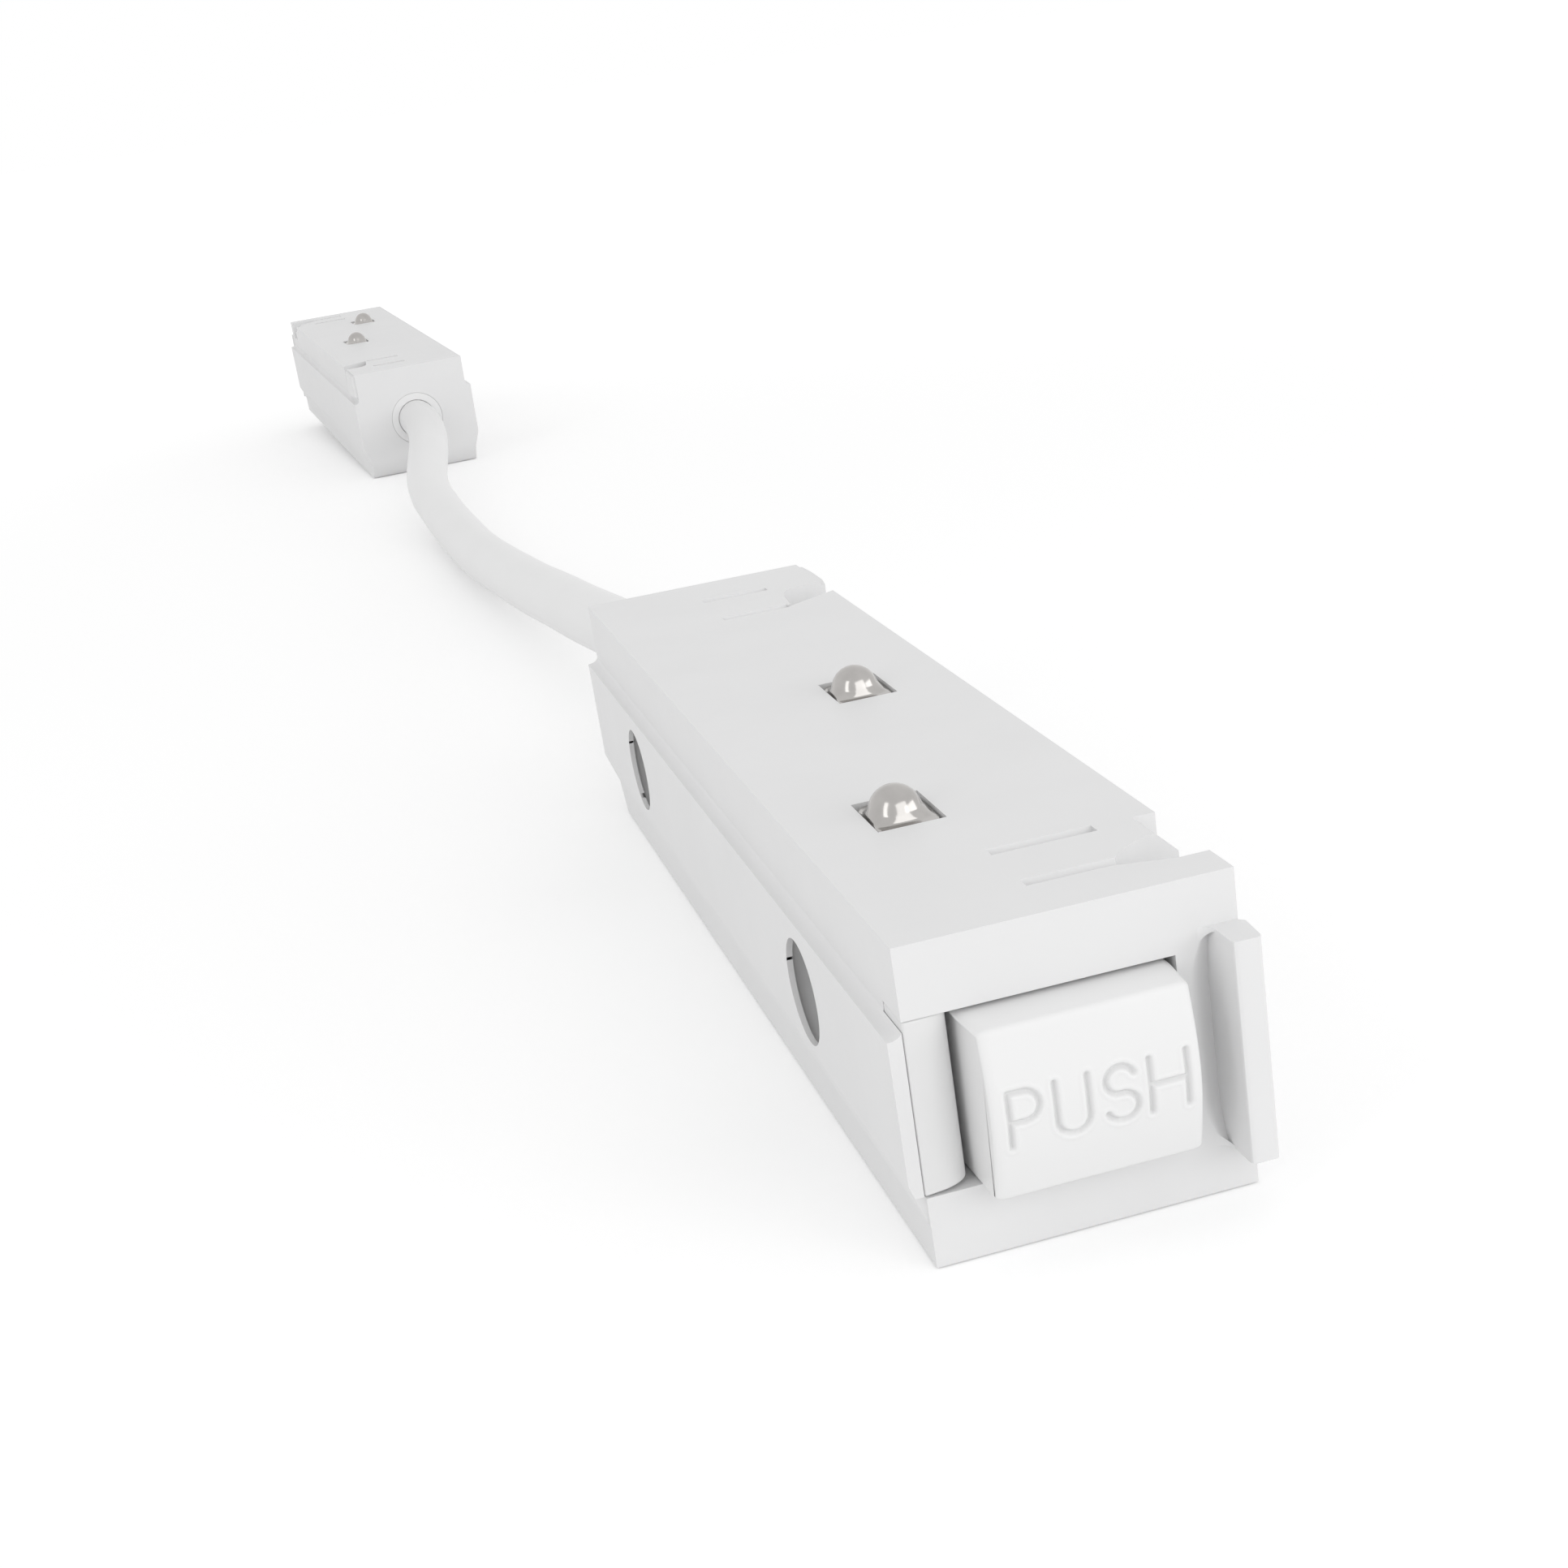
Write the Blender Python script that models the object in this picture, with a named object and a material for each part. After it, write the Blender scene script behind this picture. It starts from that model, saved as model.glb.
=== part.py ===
"""Magnetic track corner connector: two equal plug housings joined by a short round cable.

Each housing is modelled in its own frame: x across, y from the push-button end to the cable end,
z up from the underside. The object's frame has its origin under the middle of the near housing.
"""

import math

import bmesh
import bpy
from mathutils import Matrix, Vector

# Fit between neighbouring pieces
GAP = 0.0003

# Housing
HOUSING_LENGTH = 0.1025
HOUSING_WIDTH = 0.022
HOUSING_HEIGHT = 0.0215
SIDE_DRAFT = 0.016
SIDE_WALL = 0.0018
TOP_WALL = 0.0018
REAR_WALL = 0.0022
FOOT_RUN = 0.0019
END_CAP = 0.0034
CHAMBER_END = 0.0135

# Raised rail along each side; heights are shares of the housing's height
RAIL_PROUD = 0.00103
RAIL_FOOT_SHARE = 0.1302
RAIL_LOW_SHARE = 0.2744
RAIL_HIGH_SHARE = 0.7535
RAIL_COVE = 0.0006

# Window for the push button and its neighbours
WINDOW_LOW_SHARE = 0.2256
WINDOW_HIGH_SHARE = 0.7767
PILLAR_SHARE = 0.391
CHAMBER_WALL = 0.0011

# Lug beside the push button
LUG_REACH = 0.00325
LUG_THICKNESS = 0.0016
LUG_PROUD = 0.00025
LUG_FILLET = 0.0006
LUG_BOTTOM_SHARE = 0.1488
LUG_TOP_SHARE = 0.8419

# Latch bump at the cable end
LATCH_PROUD = 0.0007
LATCH_LENGTH = 0.0095
LATCH_HEIGHT = 0.0042

# Snap tabs in the top; sideways places are shares of the half width
TAB_SLOT_WIDTH = 0.00085
TAB_SLOT_DEPTH = 0.0011
TAB_SLOT_START_SHARE = -0.064
TAB_SLOT_SHARE = 0.591
NEAR_SLOTS = (0.005, 0.0113)
FAR_SLOT_INSETS = (0.008, 0.0165)
NOTCH_DEPTH = 0.0034
NOTCH_FLOOR = 0.0011
NOTCH_CURVE_SHARE = 0.4545
NEAR_NOTCH_LENGTH = 0.0033
FAR_NOTCH_LENGTH = 0.0070
TAB_RAMP = 0.0016

# Push button
CHEEK_BUTTON_GAP = 0.00075
BUTTON_RIGHT_GAP = 0.0006
BUTTON_PROUD = 0.0026
BUTTON_BULGE = 0.00095
BUTTON_TOP_SLOPE = 0.00035
BUTTON_LIP = 0.0004
BUTTON_DEPTH = 0.007

# End cheek
CHEEK_SHARE = 0.25
CHEEK_ROUND = 0.0015
CHEEK_DEPTH = 0.008

# Contacts: share of the half width, and distance from the push-button end
CONTACT_PLACES = ((-0.291, 0.0229), (0.286, 0.054))
CONTACT_WINDOW_WIDTH = 0.0049
CONTACT_WINDOW_LENGTH = 0.0066
CONTACT_RADIUS = 0.00205
CONTACT_PROUD = 0.002
CONTACT_FLANGE_RADIUS = 0.003
CONTACT_FLANGE = 0.0005
CONTACT_STEM_RADIUS = 0.001
CONTACT_STEM_LENGTH = 0.0085
CONTACT_TRAVEL = 0.0014

# Contact carrier and base plate
CARRIER_TOP_SHARE = 0.6279
CARRIER_FRONT_ROOM = 0.0018
CARRIER_REAR_ROOM = 0.0145
BASE_THICKNESS = 0.0018

# Side screws
SIDE_HOLE_RADIUS = 0.00384
SIDE_HOLE_INSET = 0.0221
SIDE_HOLE_SHARE = 0.4814
SCREW_HEAD_RADIUS = 0.0026
SCREW_HEAD = 0.0014
SCREW_SHANK_RADIUS = 0.0014
SCREW_SHANK_SHARE = 0.345

# Springs
BUTTON_SPRING_RADIUS = 0.003
BUTTON_SPRING_WIRE = 0.00035
BUTTON_SPRING_TURNS = 5
CONTACT_SPRING_RADIUS = 0.0018
CONTACT_SPRING_WIRE = 0.00022
CONTACT_SPRING_TURNS = 4

# Cable and its glands
CABLE_DIAMETER = 0.0074
CABLE_SHARE = 0.4977
CABLE_GRIP = 0.0052
CABLE_GAP = 0.2445
GLAND_WALL = 0.0009
GLAND_FLANGE = 0.0011
# Cable route between the two housings: share of the gap, sideways offset, height
CABLE_ROUTE = (
    (0.213, -0.00385, 0.0090),
    (0.330, -0.00522, 0.0070),
    (0.482, -0.00660, 0.0050),
    (0.592, -0.00661, 0.0043),
    (0.677, -0.00684, 0.0050),
    (0.758, -0.00641, 0.0070),
)

# Where the far housing stands
FAR_OFFSET = -0.0054
FAR_YAW = math.radians(3.85)
FAR_PITCH = math.radians(2.2)

# Derived sizes
HALF_WIDTH = HOUSING_WIDTH / 2
OUTSIDE = HALF_WIDTH + 2 * RAIL_PROUD
ABOVE = HOUSING_HEIGHT + 2 * GAP
INNER_HALF = HALF_WIDTH * (1 - SIDE_DRAFT) - SIDE_WALL
CAVITY_TOP = HOUSING_HEIGHT - TOP_WALL
RAIL_FOOT = RAIL_FOOT_SHARE * HOUSING_HEIGHT
RAIL_LOW = RAIL_LOW_SHARE * HOUSING_HEIGHT
RAIL_HIGH = RAIL_HIGH_SHARE * HOUSING_HEIGHT
LUG_BOTTOM = LUG_BOTTOM_SHARE * HOUSING_HEIGHT
LUG_TOP = LUG_TOP_SHARE * HOUSING_HEIGHT
WINDOW_LOW = WINDOW_LOW_SHARE * HOUSING_HEIGHT
WINDOW_HIGH = WINDOW_HIGH_SHARE * HOUSING_HEIGHT
WINDOW_RIGHT = HALF_WIDTH * (1 - PILLAR_SHARE)
CHAMBER_LEFT = HALF_WIDTH - CHAMBER_WALL
CHEEK_WIDTH = CHEEK_SHARE * HALF_WIDTH
BUTTON_LEFT = HALF_WIDTH - GAP - CHEEK_WIDTH - CHEEK_BUTTON_GAP
BUTTON_RIGHT = WINDOW_RIGHT - BUTTON_RIGHT_GAP
BUTTON_LOW = WINDOW_LOW + GAP
BUTTON_HIGH = WINDOW_HIGH - GAP
BUTTON_MIDDLE = ((BUTTON_RIGHT - BUTTON_LEFT) / 2, (BUTTON_LOW + BUTTON_HIGH) / 2)
TAB_SLOT_START = TAB_SLOT_START_SHARE * HALF_WIDTH
TAB_SLOT_LENGTH = TAB_SLOT_SHARE * HALF_WIDTH
NOTCH_LEVEL = HOUSING_HEIGHT - NOTCH_DEPTH
NOTCH_START = NOTCH_CURVE_SHARE * HALF_WIDTH
FAR_SLOTS = tuple(HOUSING_LENGTH - inset for inset in FAR_SLOT_INSETS)
CONTACT_POINTS = tuple((share * HALF_WIDTH, y) for share, y in CONTACT_PLACES)
FLANGE_HIGH = CAVITY_TOP - GAP
FLANGE_LOW = FLANGE_HIGH - CONTACT_FLANGE
CARRIER_START = CHAMBER_END + CARRIER_FRONT_ROOM
CARRIER_END = HOUSING_LENGTH - CARRIER_REAR_ROOM
CARRIER_LOW = BASE_THICKNESS + GAP
CARRIER_TOP = CARRIER_TOP_SHARE * HOUSING_HEIGHT
SIDE_HOLE_HEIGHT = SIDE_HOLE_SHARE * HOUSING_HEIGHT
SCREW_PLACES = (SIDE_HOLE_INSET, HOUSING_LENGTH - SIDE_HOLE_INSET)
SCREW_SEAT = INNER_HALF - GAP
SCREW_SHANK = SCREW_SHANK_SHARE * HALF_WIDTH
CABLE_RADIUS = CABLE_DIAMETER / 2
CABLE_HEIGHT = CABLE_SHARE * HOUSING_HEIGHT
GLAND_BORE = CABLE_RADIUS + GAP
GLAND_RADIUS = GLAND_BORE + GLAND_WALL

ROUND_STEPS = 24


def plane_of(axis):
    """Which coordinates an outline's two numbers fill, and which one it is carried along."""
    along = "XYZ".index(axis)
    first, second = [i for i in range(3) if i != along]
    return first, second, along


def clear_scene():
    for obj in list(bpy.data.objects):
        bpy.data.objects.remove(obj, do_unlink=True)


def make_material(name, colour, metallic, roughness):
    material = bpy.data.materials.new(name)
    material.use_nodes = True
    shader = material.node_tree.nodes["Principled BSDF"]
    shader.inputs["Base Color"].default_value = (*colour, 1.0)
    shader.inputs["Metallic"].default_value = metallic
    shader.inputs["Roughness"].default_value = roughness
    return material


def make_materials():
    return {
        "housing_white": make_material("housing_white", (0.86, 0.86, 0.86), 0.0, 0.50),
        "button_white": make_material("button_white", (0.88, 0.88, 0.88), 0.0, 0.45),
        "cheek_white": make_material("cheek_white", (0.87, 0.87, 0.87), 0.0, 0.45),
        "base_white": make_material("base_white", (0.84, 0.84, 0.84), 0.0, 0.50),
        "gland_white": make_material("gland_white", (0.85, 0.85, 0.85), 0.0, 0.55),
        "cable_white": make_material("cable_white", (0.83, 0.83, 0.83), 0.0, 0.40),
        "carrier_black": make_material("carrier_black", (0.03, 0.03, 0.03), 0.0, 0.50),
        "contact_nickel": make_material("contact_nickel", (0.75, 0.73, 0.70), 1.0, 0.20),
        "spring_steel": make_material("spring_steel", (0.60, 0.60, 0.60), 1.0, 0.30),
        "screw_steel": make_material("screw_steel", (0.65, 0.65, 0.65), 1.0, 0.30),
    }


def object_from(name, bm, origin=(0.0, 0.0, 0.0)):
    """An object from the bmesh, with its origin moved to the given point."""
    bmesh.ops.recalc_face_normals(bm, faces=bm.faces)
    bmesh.ops.translate(bm, verts=bm.verts, vec=-Vector(origin))
    mesh = bpy.data.meshes.new(name)
    bm.to_mesh(mesh)
    bm.free()
    obj = bpy.data.objects.new(name, mesh)
    obj.location = origin
    bpy.context.scene.collection.objects.link(obj)
    return obj


def prism(name, outline, axis, low, high, origin=(0.0, 0.0, 0.0)):
    """The outline, in the plane across the axis, carried along it from low to high."""
    first, second, along = plane_of(axis)
    bm = bmesh.new()
    rings = []
    for level in (low, high):
        ring = []
        for a, b in outline:
            point = [0.0, 0.0, 0.0]
            point[first] = a
            point[second] = b
            point[along] = level
            ring.append(bm.verts.new(point))
        rings.append(ring)
        bm.faces.new(ring)
    count = len(outline)
    for i in range(count):
        j = (i + 1) % count
        bm.faces.new((rings[0][i], rings[0][j], rings[1][j], rings[1][i]))
    return object_from(name, bm, origin)


def box(name, x_range, y_range, z_range):
    corners = [(x_range[i], y_range[j]) for i, j in ((0, 0), (1, 0), (1, 1), (0, 1))]
    return prism(name, corners, "Z", z_range[0], z_range[1])


def turned(name, profile, axis, origin, closed=False):
    """A round piece: (radius, position) pairs turned about the axis through the origin."""
    first, second, along = plane_of(axis)
    bm = bmesh.new()
    rings = []
    for radius, position in profile:
        ring = []
        steps = ROUND_STEPS if radius > 0 else 1
        for step in range(steps):
            angle = 2 * math.pi * step / ROUND_STEPS
            point = list(origin)
            point[first] += radius * math.cos(angle)
            point[second] += radius * math.sin(angle)
            point[along] += position
            ring.append(bm.verts.new(point))
        rings.append(ring)
    pairs = list(zip(rings, rings[1:]))
    if closed:
        pairs.append((rings[-1], rings[0]))
    for low, high in pairs:
        for i in range(ROUND_STEPS):
            j = (i + 1) % ROUND_STEPS
            corners = (low[i % len(low)], low[j % len(low)], high[j % len(high)], high[i % len(high)])
            bm.faces.new(list(dict.fromkeys(corners)))
    obj = object_from(name, bm, origin)
    smooth(obj)
    return obj


def rod(radius, low, high):
    """Profile of a plain round bar."""
    return [(0.0, low), (radius, low), (radius, high), (0.0, high)]


def smooth(obj):
    obj.data.polygons.foreach_set("use_smooth", [True] * len(obj.data.polygons))
    obj.data.set_sharp_from_angle(angle=math.radians(35))


def coil(name, axis, centre, radius, wire, low, high, turns):
    """A coil spring along the axis, its wire clear of both ends."""
    first, second, along = plane_of(axis)
    start = low + GAP + wire
    end = high - GAP - wire
    steps = 12 * turns
    curve = bpy.data.curves.new(name, "CURVE")
    curve.dimensions = "3D"
    curve.bevel_depth = wire
    curve.bevel_resolution = 1
    curve.use_fill_caps = True
    spline = curve.splines.new("POLY")
    spline.points.add(steps)
    for step in range(steps + 1):
        angle = 2 * math.pi * turns * step / steps
        point = [0.0, 0.0, 0.0]
        point[first] = radius * math.cos(angle)
        point[second] = radius * math.sin(angle)
        point[along] = start - low + (end - start) * step / steps
        spline.points[step].co = (*point, 1.0)
    obj = bpy.data.objects.new(name, curve)
    place = [0.0, 0.0, 0.0]
    place[first] = centre[0]
    place[second] = centre[1]
    place[along] = low
    obj.location = place
    bpy.context.scene.collection.objects.link(obj)
    return obj


def combine(body, tools, operation):
    """Adds each hidden tool shape to the body, or cuts it away."""
    for tool in tools:
        modifier = body.modifiers.new(tool.name, "BOOLEAN")
        modifier.operation = operation
        modifier.solver = "EXACT"
        modifier.object = tool
        tool.hide_render = True
        tool.display_type = "WIRE"


def side_at(height):
    """Half width of the drafted side at a height."""
    return HALF_WIDTH * (1 - SIDE_DRAFT * (1 - height / HOUSING_HEIGHT))


def shell_outline():
    """Cross-section of the housing with its side rails."""
    rail_edge = side_at(RAIL_HIGH) + RAIL_PROUD
    right = [
        (side_at(0.0), 0.0),
        (side_at(RAIL_FOOT), RAIL_FOOT),
        (side_at(RAIL_LOW) + RAIL_PROUD, RAIL_LOW),
    ]
    for step in range(5):
        angle = math.radians(90) * step / 4
        x = rail_edge - RAIL_PROUD * math.sin(angle)
        right.append((x, RAIL_HIGH - RAIL_COVE * math.cos(angle)))
    right.append((HALF_WIDTH, HOUSING_HEIGHT))
    return right + [(-x, z) for x, z in reversed(right)]


def lug_outline():
    """The lug's section from above, with a fillet on its inner side."""
    inner = HALF_WIDTH - LUG_THICKNESS
    outer = HALF_WIDTH + LUG_PROUD
    edge = LUG_THICKNESS / 5
    corners = [
        (side_at(0.0), END_CAP / 2),
        (side_at(0.0), 0.0),
        (outer, -2 * LUG_PROUD),
        (outer, -LUG_REACH + edge),
        (outer - edge, -LUG_REACH),
        (inner + edge, -LUG_REACH),
        (inner, -LUG_REACH + edge),
    ]
    for step in range(4):
        angle = math.radians(90) * step / 3
        x = inner - LUG_FILLET * (1 - math.cos(angle))
        corners.append((x, -LUG_FILLET * (1 - math.sin(angle))))
    corners.append((inner - LUG_FILLET, END_CAP / 2))
    return corners


def latch_outline():
    """The latch bump's section from above, at the cable end of the right side."""
    end = HOUSING_LENGTH - GAP
    start = end - LATCH_LENGTH
    inside = HALF_WIDTH - LATCH_PROUD
    return [
        (inside, start),
        (HALF_WIDTH + LATCH_PROUD / 2, start),
        (HALF_WIDTH + LATCH_PROUD, start + LATCH_LENGTH / 4),
        (HALF_WIDTH + LATCH_PROUD, start + LATCH_LENGTH * 0.7),
        (HALF_WIDTH + LATCH_PROUD * 0.75, end),
        (inside, end),
    ]


def near_notch_outline():
    """The notch beside the snap tab next to the end cap."""
    slot = NEAR_SLOTS[0]
    half_slot = TAB_SLOT_WIDTH / 2
    back = slot + NEAR_NOTCH_LENGTH
    return [
        (NOTCH_START, slot - half_slot),
        (0.80 * HALF_WIDTH, END_CAP),
        (OUTSIDE, END_CAP),
        (OUTSIDE, back),
        (0.955 * HALF_WIDTH, back),
        (0.80 * HALF_WIDTH, back - 0.06 * NEAR_NOTCH_LENGTH),
        (0.70 * HALF_WIDTH, back - 0.21 * NEAR_NOTCH_LENGTH),
        (0.618 * HALF_WIDTH, back - 0.42 * NEAR_NOTCH_LENGTH),
        (0.545 * HALF_WIDTH, back - 0.64 * NEAR_NOTCH_LENGTH),
        (0.50 * HALF_WIDTH, slot + half_slot),
        (NOTCH_START, slot + half_slot),
    ]


def far_notch_outline():
    """The notch beside the snap tab at the cable end."""
    front = FAR_SLOTS[1]
    half_slot = TAB_SLOT_WIDTH / 2
    back = front + FAR_NOTCH_LENGTH
    return [
        (0.50 * HALF_WIDTH, front - half_slot),
        (HALF_WIDTH, front + 0.37 * FAR_NOTCH_LENGTH),
        (OUTSIDE, front + 0.44 * FAR_NOTCH_LENGTH),
        (OUTSIDE, back),
        (0.864 * HALF_WIDTH, back),
        (0.709 * HALF_WIDTH, back - 0.06 * FAR_NOTCH_LENGTH),
        (0.627 * HALF_WIDTH, back - 0.20 * FAR_NOTCH_LENGTH),
        (0.591 * HALF_WIDTH, back - 0.40 * FAR_NOTCH_LENGTH),
        (0.555 * HALF_WIDTH, front + half_slot),
        (0.50 * HALF_WIDTH, front + half_slot),
    ]


def slot_cutters(label):
    """The thin slots that free the snap tabs."""
    cutters = []
    for number, middle in enumerate((*NEAR_SLOTS, *FAR_SLOTS), 1):
        x_range = (TAB_SLOT_START, TAB_SLOT_START + TAB_SLOT_LENGTH)
        y_range = (middle - TAB_SLOT_WIDTH / 2, middle + TAB_SLOT_WIDTH / 2)
        z_range = (HOUSING_HEIGHT - TAB_SLOT_DEPTH, ABOVE)
        cutters.append(box(f"{label}_cut_slot_{number}", x_range, y_range, z_range))
    return cutters


def tab_cutters(label):
    """The notches beside the snap tabs, and the ramp on the near tab's end."""
    near = prism(f"{label}_cut_near_notch", near_notch_outline(), "Z", NOTCH_LEVEL, ABOVE)
    far = prism(f"{label}_cut_far_notch", far_notch_outline(), "Z", NOTCH_LEVEL, ABOVE)
    ramp_outline = [
        (HALF_WIDTH - TAB_RAMP, HOUSING_HEIGHT),
        (OUTSIDE, HOUSING_HEIGHT - TAB_RAMP - 2 * RAIL_PROUD),
        (OUTSIDE, ABOVE),
        (HALF_WIDTH - TAB_RAMP, ABOVE),
    ]
    start = NEAR_SLOTS[0] + 0.91 * NEAR_NOTCH_LENGTH
    end = NEAR_SLOTS[1] + TAB_SLOT_WIDTH / 2
    ramp = prism(f"{label}_cut_ramp", ramp_outline, "Y", start, end)
    return [near, far, ramp]


def window_cutter(label):
    """The window in the end cap, and the button's chamber behind it."""
    step = END_CAP + GAP
    outline = [
        (-HALF_WIDTH, -GAP),
        (WINDOW_RIGHT, -GAP),
        (WINDOW_RIGHT, CHAMBER_END + GAP),
        (-CHAMBER_LEFT, CHAMBER_END + GAP),
        (-CHAMBER_LEFT, step),
        (-HALF_WIDTH, step),
    ]
    return prism(f"{label}_cut_window", outline, "Z", WINDOW_LOW, WINDOW_HIGH)


def cavity_cutter(label):
    """The hollow inside, lower under the notch at the cable end."""
    x_range = (-INNER_HALF, INNER_HALF)
    y_range = (CHAMBER_END, HOUSING_LENGTH - REAR_WALL)
    cavity = box(f"{label}_cut_cavity", x_range, y_range, (-GAP, CAVITY_TOP))
    under_notch = (NOTCH_LEVEL - NOTCH_FLOOR, ABOVE)
    y_range = (FAR_SLOTS[1] - 2 * TAB_SLOT_WIDTH, HOUSING_LENGTH)
    floor = box(f"{label}_keep_floor", (NOTCH_START, OUTSIDE), y_range, under_notch)
    combine(cavity, [floor], "DIFFERENCE")
    return cavity


def contact_window_cutters(label):
    cutters = []
    for number, (x, y) in enumerate(CONTACT_POINTS, 1):
        x_range = (x - CONTACT_WINDOW_WIDTH / 2, x + CONTACT_WINDOW_WIDTH / 2)
        y_range = (y - CONTACT_WINDOW_LENGTH / 2, y + CONTACT_WINDOW_LENGTH / 2)
        z_range = (CAVITY_TOP - GAP, ABOVE)
        cutters.append(box(f"{label}_cut_contact_{number}", x_range, y_range, z_range))
    return cutters


def hole_cutters(label):
    """The two screw holes in the left side, and the hole for the gland."""
    cutters = []
    for number, y in enumerate(SCREW_PLACES, 1):
        profile = rod(SIDE_HOLE_RADIUS, -OUTSIDE, -INNER_HALF + GAP)
        origin = (0.0, y, SIDE_HOLE_HEIGHT)
        cutters.append(turned(f"{label}_cut_side_{number}", profile, "X", origin))
    profile = rod(GLAND_RADIUS + GAP, -REAR_WALL - GAP, GAP)
    origin = (0.0, HOUSING_LENGTH, CABLE_HEIGHT)
    cutters.append(turned(f"{label}_cut_gland", profile, "Y", origin))
    return cutters


def foot_cutter(label):
    """The sloping foot under the cable end."""
    outline = [
        (HOUSING_LENGTH - FOOT_RUN, -GAP),
        (HOUSING_LENGTH - FOOT_RUN, 0.0),
        (HOUSING_LENGTH, RAIL_FOOT),
        (HOUSING_LENGTH + GAP, RAIL_FOOT),
        (HOUSING_LENGTH + GAP, -GAP),
    ]
    return prism(f"{label}_cut_foot", outline, "X", -OUTSIDE, OUTSIDE)


def make_body(label):
    """The moulded housing: rails, lug, latch bump, window, slots, notches and holes."""
    body = prism(f"{label}_body", shell_outline(), "Y", 0.0, HOUSING_LENGTH)
    lug = prism(f"{label}_add_lug", lug_outline(), "Z", LUG_BOTTOM, LUG_TOP)
    latch_low = HOUSING_HEIGHT - GAP - LATCH_HEIGHT
    latch_high = HOUSING_HEIGHT - GAP
    latch = prism(f"{label}_add_latch", latch_outline(), "Z", latch_low, latch_high)
    added = [lug, latch]
    cutters = [window_cutter(label), cavity_cutter(label)]
    cutters += contact_window_cutters(label)
    cutters += hole_cutters(label)
    cutters += slot_cutters(label)
    cutters += tab_cutters(label)
    cutters.append(foot_cutter(label))
    combine(body, added, "UNION")
    combine(body, cutters, "DIFFERENCE")
    return [body, *added, *cutters]


def make_base(label):
    """The plate that closes the underside."""
    x_range = (-INNER_HALF + GAP, INNER_HALF - GAP)
    y_range = (CHAMBER_END + GAP, HOUSING_LENGTH - REAR_WALL - GAP)
    return [box(f"{label}_base", x_range, y_range, (0.0, BASE_THICKNESS))]


def button_outline():
    """The push button from the side: a bulging front with a lip below."""
    top = BUTTON_HIGH - BUTTON_TOP_SLOPE
    low = BUTTON_LOW - BUTTON_LIP
    lip = BUTTON_PROUD - BUTTON_LIP / 2
    outline = [(BUTTON_DEPTH, BUTTON_LOW), (BUTTON_LIP - lip, BUTTON_LOW)]
    steps = 12
    for step in range(steps + 1):
        share = step / steps
        bulge = BUTTON_BULGE * math.sin(math.pi * share)
        front = lip + (BUTTON_PROUD - lip) * share + bulge
        outline.append((-front, low + (top - low) * share))
    outline += [(0.0, BUTTON_HIGH), (BUTTON_DEPTH, BUTTON_HIGH)]
    return outline


def make_button(label):
    origin = (BUTTON_MIDDLE[0], 0.0, BUTTON_MIDDLE[1])
    name = f"{label}_button"
    return [prism(name, button_outline(), "X", -BUTTON_LEFT, BUTTON_RIGHT, origin)]


def make_button_spring(label):
    low = BUTTON_DEPTH
    high = CARRIER_START
    wire = BUTTON_SPRING_WIRE
    name = f"{label}_button_spring"
    turns = BUTTON_SPRING_TURNS
    return [coil(name, "Y", BUTTON_MIDDLE, BUTTON_SPRING_RADIUS, wire, low, high, turns)]


def make_cheek(label):
    """The upright cheek between the left rail and the push button."""
    left = -HALF_WIDTH + GAP
    right = left + CHEEK_WIDTH
    outline = [(left, 0.0)]
    for step in range(6):
        angle = math.radians(90) * step / 5
        x = right - CHEEK_ROUND * (1 - math.sin(angle))
        outline.append((x, CHEEK_ROUND * (1 - math.cos(angle))))
    outline += [
        (right, CHEEK_DEPTH),
        (-CHAMBER_LEFT + GAP, CHEEK_DEPTH),
        (-CHAMBER_LEFT + GAP, END_CAP),
        (left, END_CAP),
    ]
    return [prism(f"{label}_cheek", outline, "Z", WINDOW_LOW + GAP, WINDOW_HIGH - GAP)]


def make_carrier(label):
    """The inner block that guides the contacts and takes the screws."""
    x_range = (-INNER_HALF + GAP, INNER_HALF - GAP)
    y_range = (CARRIER_START, CARRIER_END)
    carrier = box(f"{label}_carrier", x_range, y_range, (CARRIER_LOW, CARRIER_TOP))
    depth = FLANGE_LOW - CONTACT_STEM_LENGTH - CONTACT_TRAVEL - GAP
    cutters = []
    for number, (x, y) in enumerate(CONTACT_POINTS, 1):
        profile = rod(CONTACT_STEM_RADIUS + GAP, depth, CARRIER_TOP + GAP)
        cutters.append(turned(f"{label}_cut_stem_{number}", profile, "Z", (x, y, 0.0)))
    for number, y in enumerate(SCREW_PLACES, 1):
        profile = rod(SCREW_SHANK_RADIUS + GAP, -GAP, SCREW_SHANK + GAP)
        origin = (-SCREW_SEAT, y, SIDE_HOLE_HEIGHT)
        cutters.append(turned(f"{label}_cut_screw_{number}", profile, "X", origin))
    combine(carrier, cutters, "DIFFERENCE")
    return [carrier, *cutters]


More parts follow.
